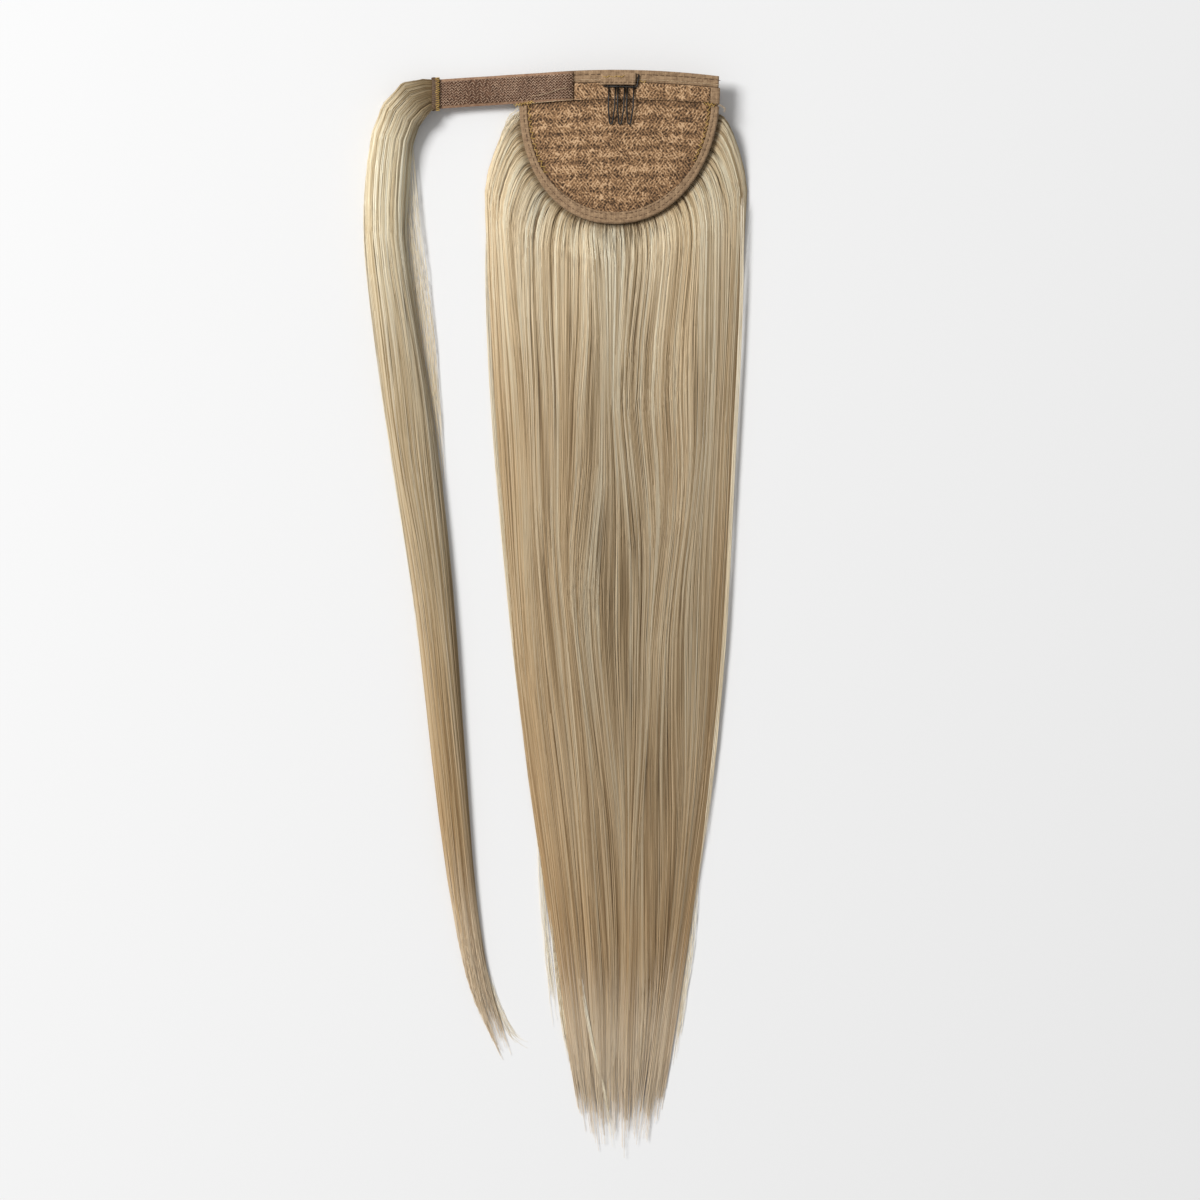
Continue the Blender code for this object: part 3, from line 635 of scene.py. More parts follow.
def put_on_guide(tree, get, strands, guide, guide_map, wandered, down, off_middle, depth, gap):
    """Moves the strands to their places on the guide: on a lock's crown, deeper down or in a gap."""
    spot_on_guide = add(tree, "CombineXYZ", wandered, down)
    found = []
    for kind in ("InputPosition", "InputNormal"):
        found.append(add(tree, "SampleUVSurface", guide, add(tree, kind), guide_map, spot_on_guide,
                         data_type="FLOAT_VECTOR"))
    crown = add(tree, "Math", off_middle, off_middle, operation="MULTIPLY")
    crown = add(tree, "Math", crown, -2.0, 1.0, operation="MULTIPLY_ADD")
    crown = add(tree, "Math", crown, get["crest"], operation="MULTIPLY")
    lift = add(tree, "Math", depth, get["depth"], operation="MULTIPLY")
    lift = add(tree, "Math", gap, get["groove"], lift, operation="MULTIPLY_ADD")
    lift = add(tree, "Math", crown, lift, operation="SUBTRACT")
    shift = add(tree, "VectorMath", found[1], operation="SCALE")
    tree.links.new(lift.outputs[0], shift.inputs["Scale"])
    there = add(tree, "VectorMath", found[0], shift, operation="ADD")
    split = add(tree, "SeparateXYZ", there)
    height = add(tree, "Math", split.outputs["Z"], get["lowest"], operation="MAXIMUM")
    there = add(tree, "CombineXYZ", split.outputs["X"], split.outputs["Y"], height)
    strands = add(tree, "SetPosition", strands, None, there)
    return strands


def store_looks(tree, get, strands, shared, own, gap, number, along, down):
    """Stores what the material reads, and what the map for the baked finish is made from."""
    tint = add(tree, "Mix", FINE_SHARE, shared["streak"], shared["fine"])
    tint = add(tree, "MapRange", tint, *TINT_RANGE, 0.0, 1.0)
    tint = add(tree, "Mix", OWN_SHARE, tint, own["tint"])
    tint = add(tree, "Math", own["depth"], DEEP_SHADE, tint, operation="MULTIPLY_ADD")
    hue = add(tree, "MapRange", shared["broad"], *HUE_RANGE, 0.0, 1.0)
    tip = add(tree, "MapRange", along, PALE_TIP_START, 1.0, 0.0, get["pale_tips"])
    for label, value in (
        ("tint", tint), ("hue", hue), ("gap", gap), ("along", down), ("tip", tip), ("number", number),
        ("step", along),
    ):
        strands = add(tree, "StoreNamedAttribute", strands, None, label, value,
                      data_type="FLOAT", domain="POINT")
    return strands


def store_lanes(tree, get, tubes):
    """Gives each strand its own narrow lane on the map that the finish is baked to."""
    stored = {}
    for label in ("number", "step", "turn"):
        stored[label] = add(tree, "InputNamedAttribute", label, data_type="FLOAT")
        stored[label] = stored[label].outputs["Attribute"]
    lane = add(tree, "Math", stored["number"], get["lanes"], operation="MODULO")
    lane = add(tree, "Math", stored["turn"], 0.9, lane, operation="MULTIPLY_ADD")
    lane = add(tree, "Math", lane, get["lanes"], operation="DIVIDE")
    floor = add(tree, "Math", stored["number"], get["lanes"], operation="DIVIDE")
    floor = add(tree, "Math", floor, operation="FLOOR")
    floors = add(tree, "Math", get["strands"], get["lanes"], operation="DIVIDE")
    floors = add(tree, "Math", floors, operation="CEIL")
    row = add(tree, "Math", stored["step"], 0.96, floor, operation="MULTIPLY_ADD")
    row = add(tree, "Math", row, floors, operation="DIVIDE")
    bake_place = add(tree, "CombineXYZ", lane, row)
    tubes = add(tree, "StoreNamedAttribute", tubes, None, "OFBake", bake_place,
                data_type="FLOAT2", domain="CORNER")
    for label in stored:
        tubes = add(tree, "RemoveAttribute", tubes, None, label)
    return tubes


def strand_tree():
    """Strands that run along a guide surface. The guide's map strand_uv counts 0 to 1 across the bundle and
    0 to 1 along it, and its attribute reach is the length from the root in metres. Strands gather into
    locks, stand up at a lock's middle, sway together, wander a little each and end unevenly, with gaps
    between some that are darkened with painted shade."""
    tree, get, result = new_tree(
        "Strands along a guide",
        Object="guide", Material="material", Int="strands points lanes seed lock_seed",
        Float="radius depth crest groove lowest locks root_gather middle_gather tip_gather root_gaps gaps"
              " edge_shade shaded_reach wander sway start uneven_starts uneven_ends pale_tips",
    )
    line = add(tree, "CurvePrimitiveLine")
    line = add(tree, "ResampleCurve", line, None, get["points"])
    seeds = add(tree, "Points", get["strands"])
    copies = add(tree, "InstanceOnPoints", seeds, None, line)
    strands = add(tree, "RealizeInstances", copies)

    place = add(tree, "CurveOfPoint")
    number, step = place.outputs["Curve Index"], place.outputs["Index in Curve"]
    last = add(tree, "Math", get["points"], 1.0, operation="SUBTRACT")
    along = add(tree, "Math", step, last, operation="DIVIDE")

    labels = ("spot", "end", "start", "depth", "tint")
    own = random_values(tree, number, get["seed"], 0.0, 11.0, [(label, 0.0, 1.0) for label in labels])
    across = add(tree, "Math", number, own["spot"], operation="ADD")
    across = add(tree, "Math", across, get["strands"], operation="DIVIDE")
    across = add(tree, "Clamp", across, 0.004, 0.996)
    first = add(tree, "Math", own["start"], get["uneven_starts"], get["start"], operation="MULTIPLY_ADD")
    end = add(tree, "Math", own["end"], END_CROWDING, operation="POWER")
    end = add(tree, "Math", end, get["uneven_ends"], operation="MULTIPLY")
    end = add(tree, "Math", 0.999, end, operation="SUBTRACT")
    down = add(tree, "MapRange", along, 0.0, 1.0, first, end)

    # The guide, and how far the place is from the root
    guide = add(tree, "ObjectInfo", get["guide"], False).outputs["Geometry"]
    guide_map = add(tree, "InputNamedAttribute", "strand_uv", data_type="FLOAT_VECTOR")
    reach = add(tree, "InputNamedAttribute", "reach", data_type="FLOAT")
    spot = add(tree, "CombineXYZ", across, down)
    reach = add(tree, "SampleUVSurface", guide, reach, guide_map, spot, data_type="FLOAT")
    in_locks = add(tree, "Math", across, get["locks"], operation="MULTIPLY")
    shared = shared_values(tree, get, in_locks, reach)
    gathered, off_middle = draw_together(tree, get, in_locks, across, down)
    wandered = sway_together(tree, get, shared, number, across, gathered, down)
    gap = gaps_with_painted_shade(tree, get, shared, reach)
    depth = own["depth"]
    strands = put_on_guide(tree, get, strands, guide, guide_map, wandered, down, off_middle, depth, gap)
    strands = store_looks(tree, get, strands, shared, own, gap, number, along, down)

    taper = add(tree, "MapRange", along, TAPER_START, 1.0, 1.0, TIP_THICKNESS)
    thickness = add(tree, "Math", taper, get["radius"], operation="MULTIPLY")
    profile = add(tree, "CurvePrimitiveCircle", 3, 1.0)
    turn = add(tree, "SplineParameter").outputs["Factor"]
    profile = add(tree, "StoreNamedAttribute", profile, None, "turn", turn,
                  data_type="FLOAT", domain="POINT")
    tubes = add(tree, "CurveToMesh", strands, profile, thickness, True)
    finish_tree(tree, store_lanes(tree, get, tubes), get, result)
    return tree


def finish_tree(tree, shape, get, result):
    shape = add(tree, "SetShadeSmooth", shape)
    shape = add(tree, "RealizeInstances", shape)
    shape = add(tree, "SetMaterial", shape, None, get["material"])
    tree.links.new(shape.outputs["Geometry"], result.inputs[0])


def guide_from(name, rows, root_row=0):
    """A surface through rows of points across the bundle, with the map and the reach that strands use."""
    count, width = len(rows), len(rows[0])
    mesh = mesh_of(name, [point for row in rows for point in row], grid_faces(count, width))
    places = np.array([tuple(point) for row in rows for point in row]).reshape(count, width, 3)
    steps = np.linalg.norm(np.diff(places, axis=0), axis=2)
    reach = np.concatenate([np.zeros((1, width)), np.cumsum(steps, axis=0)])
    reach -= reach[root_row]
    store_values(mesh, "reach", reach.ravel())
    layer = mesh.uv_layers.new(name="strand_uv")
    numbers = np.empty(len(mesh.loops), dtype=np.int64)
    mesh.loops.foreach_get("vertex_index", numbers)
    spots = np.stack([(numbers % width) / (width - 1), (numbers // width) / (count - 1)], axis=1)
    layer.data.foreach_set("uv", spots.ravel())
    return link_object(name, mesh)


# The fall of hair

FALL_COLUMNS = 120
FALL_STATIONS, FALL_CROWDING = 26, 0.92    # under 1 crowds the stations towards the tips
RELIEF_FADES, FADING_ROWS = 14, 18         # where the locks' relief starts to fade, and over how many rows


def across_fall(angle):
    return mix((1 - math.cos(angle)) / 2, angle / math.pi, EDGE_SHARE)


def bezier(points, share):
    a, b, c, d = (1 - share) ** 3, 3 * share * (1 - share) ** 2, 3 * share**2 * (1 - share), share**3
    return tuple(a * p + b * q + c * r + d * s for p, q, r, s in zip(*points))


def lock_relief(share):
    """1 on the crown of a lock and 0 in the groove between two."""
    return abs(math.sin(math.pi * LOCK_COUNT * share))


def fall_rows(columns):
    """The hair's flow in plan, as rows of places across it, from under the cap's edge to the tips."""
    edges = edges_of("hair_fall")
    join_shares = (0.05, 0.10, 0.16, 0.23, 0.31, 0.40, 0.50, 0.61, 0.73, 0.86, 1.0)
    fall_shares = [((i + 1) / FALL_STATIONS) ** FALL_CROWDING for i in range(FALL_STATIONS)]
    lines = []
    for j in range(columns + 1):
        angle = math.pi * j / columns
        at_rim = mix(FIRST_HAIR, math.pi - FIRST_HAIR, j / columns)
        start = askew(*rim_point(at_rim, RIM_CLEARANCE))
        outward = askew(*rim_point(at_rim, RIM_CLEARANCE + SHOULDER_REACH))
        join_y = JOIN_Y - JOIN_ARCH * math.sin(angle) + SHIFT_Y
        share = across_fall(angle)

        def place(y):
            held = max(y, TIP_START + SHIFT_Y)
            left, right = extent_at(edges, held)
            narrower = (held - y) * TIP_NARROWING
            return mix(left + narrower, right - narrower, share), y

        end = place(join_y)
        bend = (start, outward, (end[0], mix(start[1], join_y, JOIN_PULL)), end)
        line = [askew(*rim_point(at_rim, -RIM_DEPTH)), askew(*rim_point(at_rim, -1 * MM)), start]
        line += [bezier(bend, s) for s in join_shares]
        last = mix(SIDE_END, FALL_END, 1 - abs(2 * share - 1) ** 3)
        last += TIP_NOTCH * (1 - lock_relief(j / columns)) + SHIFT_Y + 2 * MM
        line += [place(mix(join_y, last, s)) for s in fall_shares]
        lines.append(line)
    return list(zip(*lines))


def smoothed(heights, passes):
    for _ in range(passes):
        padded = np.pad(heights, 1, mode="edge")
        around = padded[:-2, 1:-1] + padded[2:, 1:-1] + padded[1:-1, :-2] + padded[1:-1, 2:]
        heights = (around + 4 * heights) / 8
    return heights


def heights_over(node, rows, sky=0.1, least=0.6 * MM):
    """Height of a CAD node's upper side at places in the frame."""
    mesh = NODES[node].data
    points = [vertex.co.copy() for vertex in mesh.vertices]
    shape = BVHTree.FromPolygons(points, [tuple(face.vertices) for face in mesh.polygons])
    down = Vector((0, 0, -1))
    found = np.full((len(rows), len(rows[0])), least)
    for i, row in enumerate(rows):
        for j, (x, y) in enumerate(row):
            hit = shape.ray_cast(Vector((x, y, sky)), down)[0]
            if hit is not None:
                found[i, j] = max(least, hit.z)
    return found


def make_core(node, sunk, narrowed, last_y, short):
    """The inside of a bundle of hair: its solid, a little lower, narrower and shorter than the strands."""
    name = node + "_core"
    mesh = merged_copy(node, name)
    edges = edges_of(node)
    low_y, high_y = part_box(node)[0][1] + 0.5 * MM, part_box(node)[1][1] - 0.5 * MM
    for vertex in mesh.vertices:
        x, y, z = vertex.co
        left, right = extent_at(edges, min(max(y, low_y), high_y))
        middle = (left + right) / 2
        lowered = max(z - sunk, 0.35 * z)
        shorter = last_y + (y - last_y) * short if y < last_y else y
        vertex.co = (middle + (x - middle) * narrowed, shorter, lowered)
    return keep_piece(link_object(name, mesh, SHADED_DEEP_HAIR), "hair", node)


# What the strands of the fall and of the wrap lock share
BUNDLE = dict(
    depth=0.8 * MM, crest=0.12 * MM, groove=0.5 * MM, gaps=0.85, uneven_starts=0.0, uneven_ends=0.10,
    pale_tips=0.6, lowest=0.3 * MM,
)


def make_fall(strands):
    rows = fall_rows(FALL_COLUMNS)
    heights = smoothed(heights_over("hair_fall", rows), 2)
    towards_tips = np.clip((np.arange(len(rows)) - RELIEF_FADES) / FADING_ROWS, 0, 1)[:, None]
    heights += (smoothed(heights, 24) - heights) * towards_tips
    heights[:2] -= 0.5 * MM
    top = [[Vector((x, y, z)) for (x, y), z in zip(row, level)] for row, level in zip(rows, heights)]
    guide = guide_from("fall_guide", top, root_row=2)
    make_core("hair_fall", sunk=1.0 * MM, narrowed=0.96, last_y=-180 * MM, short=0.48)
    for part in range(3):
        grown(
            f"hair_fall_strands_{part + 1}", strands, "hair",
            **BUNDLE, guide=guide, strands=1250, points=21, radius=0.19 * MM, locks=74.0, root_gather=0.28,
            middle_gather=0.05, tip_gather=0.16, root_gaps=15 * MM, edge_shade=0.9, shaded_reach=1.5 * MM,
            wander=0.014, sway=0.15, start=0.02, lanes=420, seed=100 + 17 * part, lock_seed=5,
            material=FALL_HAIR,
        )
    remove_object(guide)


# The wrap lock

# From the strap's end to the tip, in mm: its middle in the cap's plan, its width and its sides' heights
WrapRow = namedtuple("WrapRow", "x y width low high")
WRAP = in_mm(
    WrapRow,
    (-101.2, -11.6, 16, 7.5, 9.2), (-103.6, -11.7, 16.2, 7.5, 9.2), (-107.5, -12.7, 20.5, 5.5, 11.4),
    (-112.5, -15.1, 23.2, 2.6, 13.4), (-117.4, -19.3, 23.6, 0.6, 14.4), (-120.7, -24.5, 23.5, 0, 14.7),
    (-125.1, -35.8, 23.5, 0, 14.3), (-127.6, -60, 24.3, 0, 13), (-128.7, -88, 22.5, 0, 12),
    (-122.4, -141.4, 24, 0, 10.5), (-111.9, -212.9, 25, 0, 9.2), (-102, -289.9, 21.5, 0, 8.5),
    (-93, -388.9, 17.6, 0, 7.5), (-85.8, -455, 13.8, 0, 6), (-76.5, -504.4, 11, 0, 3.6),
    (-59, -548, 4.5, 0, 1.2),
)
WRAP_STATIONS = 42
CORE_SHORTER = 8               # stations by which the dark inside stops before the tip
STATION_CROWDING = 1.5        # more than 1 crowds the stations towards the bend at the strap
WrapRing = namedtuple("WrapRing", "middle side half low high")


def row_at(rows, keys, key):
    """The row at a key between those given, on a smooth curve through the rows. Keys rise."""
    last = len(keys) - 1
    i = max(0, min(last - 1, sum(k <= key for k in keys) - 1))
    width = keys[i + 1] - keys[i]
    t = min(1.0, max(0.0, (key - keys[i]) / width))

    def slope(n, field):
        low, high = max(0, n - 1), min(last, n + 1)
        return (rows[high][field] - rows[low][field]) / (keys[high] - keys[low])

    def value(field):
        start, end = rows[i][field], rows[i + 1][field]
        bend_in = (2 * t**3 - 3 * t**2 + 1) * start + (t**3 - 2 * t**2 + t) * width * slope(i, field)
        bend_out = (3 * t**2 - 2 * t**3) * end + (t**3 - t**2) * width * slope(i + 1, field)
        return bend_in + bend_out

    return type(rows[0])(*(value(field) for field in range(len(rows[0]))))


def running_length(rows):
    """Distance in plan along a table's rows, from its first."""
    lengths = [0.0]
    for a, b in zip(rows, rows[1:]):
        lengths.append(lengths[-1] + math.hypot(b.x - a.x, b.y - a.y))
    return lengths


def wrap_rings():
    """The wrap lock's sections down its length, crowded towards the strap."""
    keys = running_length(WRAP)
    stations = [keys[0], keys[1]]
    for i in range(1, WRAP_STATIONS + 1):
        stations.append(mix(keys[1], keys[-1], (i / WRAP_STATIONS) ** STATION_CROWDING))
    rows = [row_at(WRAP, keys, key) for key in stations]
    rings = []
    for i, row in enumerate(rows):
        before, after = rows[0 if i < 2 else i - 1], rows[1 if i < 2 else min(len(rows) - 1, i + 1)]
        ahead = Vector((after.x - before.x, after.y - before.y)).normalized()
        middle = Vector((row.x + SHIFT_X, row.y + SHIFT_Y))
        side = Vector((-ahead.y, ahead.x))
        rings.append(WrapRing(middle, side, row.width / 2, max(0.0, row.low), row.high))
    return rings


TOP_SIDES = 14
SIDE_DROP = 0.93               # 1 would bring the upper side right down at its two edges


def wrap_section(ring, index, shrink=0.0):
    """Points round the wrap lock at a ring, from the middle of its lower side and back there."""
    roundness = smooth_step(index, 2, 9)
    points = []
    for share in (0.0, -0.5, -0.9):
        points.append((share, 0.0))
    for k in range(TOP_SIDES + 1):
        share = math.sin(math.pi * (k / TOP_SIDES - 0.5))
        points.append((share, mix(1.0, math.sqrt(1 - SIDE_DROP * abs(share) ** 3), roundness)))
    for share in (0.9, 0.5, 0.0):
        points.append((share, 0.0))
    half = max(0.3 * MM, ring.half - shrink)
    high = max(ring.low + 0.4 * MM, ring.high - shrink)
    section = []
    for share, level in points:
        x, y = ring.middle + ring.side * share * half
        section.append(Vector((x, y, max(0.25 * MM, mix(ring.low, high, level)))))
    return section


def make_wrap(strands):
    rings = wrap_rings()
    guide = guide_from("wrap_guide", [wrap_section(ring, i) for i, ring in enumerate(rings)])
    core = [wrap_section(ring, i, 1.0 * MM)[:-1] for i, ring in enumerate(rings[:-CORE_SHORTER])]
    keep_piece(loft("wrap_lock_core", core, SHADED_DEEP_HAIR), "hair", "wrap_lock")
    grown(
        "wrap_lock_strands", strands, "hair",
        **BUNDLE, guide=guide, strands=1300, points=22, radius=0.18 * MM, locks=26.0, root_gather=0.25,
        middle_gather=0.08, tip_gather=0.3, root_gaps=14 * MM, edge_shade=1.0, shaded_reach=34 * MM,
        wander=0.04, sway=0.20, start=0.0, lanes=440, seed=900, lock_seed=31, material=WRAP_HAIR,
    )
    remove_object(guide)


# Loose wisps of hair

WispPlace = namedtuple("WispPlace", "x y z width")
Wisp = namedtuple("Wisp", "name strands radius material places")
WISPS = (
    Wisp("wrap_lock_inner_wisp", 40, 0.09 * MM, LOOSE_HAIR_PAINTED_LIGHT, in_mm(
        WispPlace,
        (-117.5, -24, 6, 5), (-116, -52, 4.5, 7), (-114.2, -82, 3.5, 9), (-109.2, -120, 2.8, 9.5),
        (-104.2, -165, 2.2, 8), (-100.8, -198, 2, 6), (-96.5, -250, 2, 3.5),
    )),
    Wisp("wrap_lock_tip_wisp", 14, 0.08 * MM, LOOSE_HAIR_PAINTED_LIGHT, in_mm(
        WispPlace,
        (-74, -490, 1.5, 3), (-67, -512, 1, 3), (-58, -529, 0.6, 4), (-46, -536, 0.5, 6),
    )),
    Wisp("fall_left_outer_wisp", 14, 0.09 * MM, LOOSE_HAIR_PAINTED_LIGHT, in_mm(
        WispPlace,
        (-46, -400, 1.5, 2), (-42.5, -455, 1.5, 3), (-38, -500, 1, 3.5), (-33, -545, 0.6, 4),
    )),
    Wisp("fall_left_inner_wisp", 34, 0.10 * MM, LOOSE_HAIR_PAINTED_LIGHT, in_mm(
        WispPlace,
        (-38.5, -440, 2, 3), (-34.5, -490, 2, 3), (-29.5, -530, 1.5, 3), (-23, -560, 0.8, 3),
    )),
    Wisp("fall_right_wisp", 13, 0.09 * MM, LOOSE_HAIR_PAINTED_LIGHT, in_mm(
        WispPlace,
        (43, -440, 1.5, 2.5), (38.3, -485, 1.5, 3), (32.4, -525, 1, 3), (27.5, -560, 0.6, 3),
    )),
    Wisp("fall_tip_diagonal_wisp", 34, 0.11 * MM, LOOSE_HAIR_PAINTED_LIGHT, in_mm(
        WispPlace,
        (-22, -495, 4.9, 2), (-15.5, -531, 4.3, 1.6), (-8.5, -560, 3, 1.6), (-3, -592, 1.4, 2.5),
    )),
    Wisp("hair_under_strap_wisp", 40, 0.10 * MM, LOOSE_HAIR_PAINTED_LIGHT, in_mm(
        WispPlace,
        (-49, -17.5, 5.2, 4), (-57, -22, 5.2, 6), (-62, -31, 4.4, 5), (-65.8, -43, 3, 4), (-69, -60, 2, 3),
    )),
    Wisp("fall_left_edge_wisp", 40, 0.10 * MM, LOOSE_HAIR_PAINTED_LIGHT, in_mm(
        WispPlace,
        (-71, -52, 3, 2), (-73, -110, 2, 2.2), (-69.4, -190, 1.8, 2.2), (-60.6, -290, 1.6, 2.2),
        (-51.5, -370, 1.5, 2.2), (-40.5, -455, 2, 2.2),
    )),
    Wisp("fall_right_edge_wisp", 36, 0.10 * MM, LOOSE_HAIR_PAINTED_LIGHT, in_mm(
        WispPlace,
        (67, -66, 6, 2), (66.3, -130, 4.5, 2), (62, -220, 4, 2), (56.5, -320, 3.5, 2),
        (47.5, -410, 2.6, 2), (36, -490, 1.8, 2),
    )),
    Wisp("wrap_lock_outer_wisp", 40, 0.11 * MM, LOOSE_HAIR_PAINTED_LIGHT, in_mm(
        WispPlace,
        (-131.5, -27, 5, 1.8), (-137.5, -45, 4, 2), (-140.2, -85, 3.5, 2), (-134.8, -140, 3, 2),
        (-124.4, -213, 2.6, 2), (-112.6, -290, 2.2, 2), (-101.6, -389, 1.8, 2),
    )),
    Wisp("frayed_thread", 3, 0.12 * MM, PALE, in_mm(
        WispPlace,
        (52, -17.5, 15.5, 0.8), (55, -18.6, 15.2, 1.2), (57.2, -20.4, 14.6, 1.6), (56.4, -23, 14.2, 1.4),
    )),
    Wisp("loose_thread_on_strap", 2, 0.10 * MM, PALE, in_mm(
        WispPlace,
        (-48.4, -13.4, 14.4, 0.3), (-41, -12.2, 15, 0.3), (-33, -9.8, 15.9, 0.3), (-26, -8.8, 16.6, 0.3),
    )),
)


WISP_STEPS = 24


def make_wisps(strands):
    """Single hairs and thread ends that stand off the bundles."""
    for number, wisp in enumerate(WISPS):
        keys = running_length(wisp.places)
        places = [row_at(wisp.places, keys, keys[-1] * i / WISP_STEPS) for i in range(WISP_STEPS + 1)]
        rows = []
        for i, place in enumerate(places):
            before, after = places[max(0, i - 1)], places[min(WISP_STEPS, i + 1)]
            ahead = Vector((after.x - before.x, after.y - before.y, 0)).normalized()
            side = Vector((ahead.y, -ahead.x, 0)) * place.width / 2
            middle = Vector((place.x + SHIFT_X, place.y + SHIFT_Y, place.z))
            rows.append([middle + side, middle, middle - side])
        guide = guide_from(wisp.name + "_guide", rows)
        thread = wisp.material is PALE
        grown(
            wisp.name, strands, "thread" if thread else "hair",
            guide=guide, strands=wisp.strands, points=22, radius=wisp.radius, depth=0.8 * MM, crest=0.0,
            groove=0.0, locks=5.0, root_gather=0.0, middle_gather=0.2, tip_gather=0.2, root_gaps=1 * MM,
            gaps=0.0, edge_shade=0.0, shaded_reach=1.5 * MM, wander=0.1 if thread else 0.9, sway=0.2,
            start=0.0, uneven_starts=0.0 if thread else 0.25, uneven_ends=0.1 if thread else 0.28,
            pale_tips=0.6, lowest=0.3 * MM, lanes=wisp.strands, seed=1300 + 31 * number,
            lock_seed=50 + number, material=wisp.material,
        )
        remove_object(guide)


# The cap

LACE_STEP = 0.62 * MM
PATTERN_WIDTH, PATTERN_HEIGHT = 19 * MM, 15.6 * MM
MOTIF_RELIEF, TANGLE_RELIEF = 0.16 * MM, 0.20 * MM
VALLEY_SHADE, STRIP_PALER = 0.30, 0.22     # painted shade in the valley between two wefts, and the upper strip made paler all over


def lace_pattern(x, y):
    """Flowers with leaves in half-drop rows, as in stretched lace: 1 on close embroidery, 0 on the net."""
    bend = 3.0 * MM * noise.noise(Vector((x, y, 3)) * 110)
    x, y = x + bend, y + 2.4 * MM * noise.noise(Vector((x, y, 7)) * 130)
    column = math.floor(x / PATTERN_WIDTH)
    y += PATTERN_HEIGHT / 2 * (column % 2)
    across = x / PATTERN_WIDTH - column - 0.5
    down = y / PATTERN_HEIGHT - math.floor(y / PATTERN_HEIGHT) - 0.5
    across, down = across * PATTERN_WIDTH / MM, down * PATTERN_HEIGHT / MM
    radius, angle = math.hypot(across, down), math.atan2(down, across)
    petals = 2.7 + 1.1 * math.cos(5 * angle + column)
    flower = smooth_step(petals - radius, -0.3, 0.6) * (1 - 0.8 * smooth_step(1.3 - radius, 0, 0.5))
    ring = 6.0 + 0.9 * math.sin(3 * angle + 2 * column)
    scroll = 1 - smooth_step(abs(radius - ring), 0.35, 1.0)
    leaf_angle = (angle + 0.6) % (math.pi / 2) - math.pi / 4
    leaf = 1 - smooth_step(abs(leaf_angle) * radius, 0.5 + 0.25 * math.sin(radius), 1.4)
    leaf *= smooth_step(radius, 3.6, 4.4) * (1 - smooth_step(radius, 7.4, 8.4))
    return min(1.0, max(flower, 0.9 * scroll, leaf))


def weft_ridge(x, y):
    """How far a row of hair sewn on behind lifts the lace: 0 to 1."""
    if y > -DOME_START:
        return 0.0
    from_edge = math.hypot(x / CAP_HALF_WIDTH, (y + DOME_START) / (CAP_DEPTH - DOME_START))
    uneven = 0.8 * MM * noise.noise(Vector((x, y, 0)) * 60)
    crest = math.sqrt(0.5 - 0.5 * math.cos(2 * math.pi * (-y - DOME_START + uneven) / WEFT_PITCH))
    return crest * (1 - smooth_step(from_edge, 0.8, 0.95))


def lace_sheet(name, node, places, under, top, seed):
    """A sheet of lace over rows of plan places, between two heights over the cap, its pattern in relief."""
    upper, lower, pattern = [], [], []
    for row in places:
        top_row, bottom_row = [], []
        for x, y in row:
            motif = lace_pattern(x + seed * 5 * MM, y)
            cloud = noise.noise(Vector((x, y, seed)) * 330)
            tangle = noise.noise(Vector((x, y, seed + 5)) * 1100)
            ridge = weft_ridge(x, y)
            ridge_shading_strength = 0.6 + 0.4 * noise.noise(Vector((x, y, seed + 9)) * 70)
            # The lace's level: the motif and tangle, a painted highlight on each weft's ridge and painted
            # shade in the valley between two wefts. The relief below uses the same level.
            motif = 0.5 * motif * (0.7 + 0.8 * cloud) + 0.45 * tangle + 0.45 * ridge * ridge_shading_strength + 0.10
            motif += STRIP_PALER if node == "upper_strip" else -VALLEY_SHADE * ridge_shading_strength * (1 - ridge) ** 2
            motif = min(1.0, max(0.0, motif))
            relief = WEFT_RIDGE * ridge + MOTIF_RELIEF * motif + TANGLE_RELIEF * tangle
            inside = smooth_step(half_width(y) - abs(x), 2 * MM, 5 * MM) * smooth_step(-y, 2 * MM, 6 * MM)
            top_row.append(on_cap(x, y, top + (relief - 0.1 * MM) * inside))
            bottom_row.append(on_cap(x, y, under))
            pattern.append(motif)
        upper.append(top_row)
        lower.append(bottom_row)
    piece = closed_patch(name, upper, lower, LACE)
    store_values(piece.data, "pattern", pattern + pattern)
    return keep_piece(piece, "lace", node)


def make_lace():
    count = int(CAP_DEPTH / LACE_STEP)
    width = int(2 * CAP_HALF_WIDTH / LACE_STEP)
    rows = []
    for i in range(count):
        y = -CAP_DEPTH * i / count
        rows.append([(half_width(y) * (2 * j / width - 1), y) for j in range(width + 1)])
    panel = lace_sheet("lace_panel_net", "lace_panel", rows, 0.0, PANEL_THICKNESS, 0)
    depth = STRIP_BOTTOM + HEM_DEPTH + GAP
    count = int(-depth / LACE_STEP)
    width = int((STRIP_RIGHT - STRIP_LEFT) / LACE_STEP)
    rows = []
    for i in range(count + 1):
        y = -HEM_DEPTH - GAP + depth * i / count
        rows.append([(mix(STRIP_LEFT, STRIP_RIGHT, j / width), y) for j in range(width + 1)])
    strip = lace_sheet("upper_strip_net", "upper_strip", rows, PANEL_THICKNESS + GAP, STRIP_TOP, 3)
    return panel, strip


SHOWN_AT_SIDES = 0.62
PLEATS, PLEAT_RELIEF = 44, 0.24 * MM
TAPE_STEPS, FOLD_STEPS = 10, 8


def tape_depth(node, share, depth):
    """The rim's tape shows less of itself at the sides than at the round end."""
    if node != "rim_tape":
        return depth
    return depth * mix(SHOWN_AT_SIDES, 1.0, smooth_step(math.sin(math.pi * share), 0.45, 0.95))


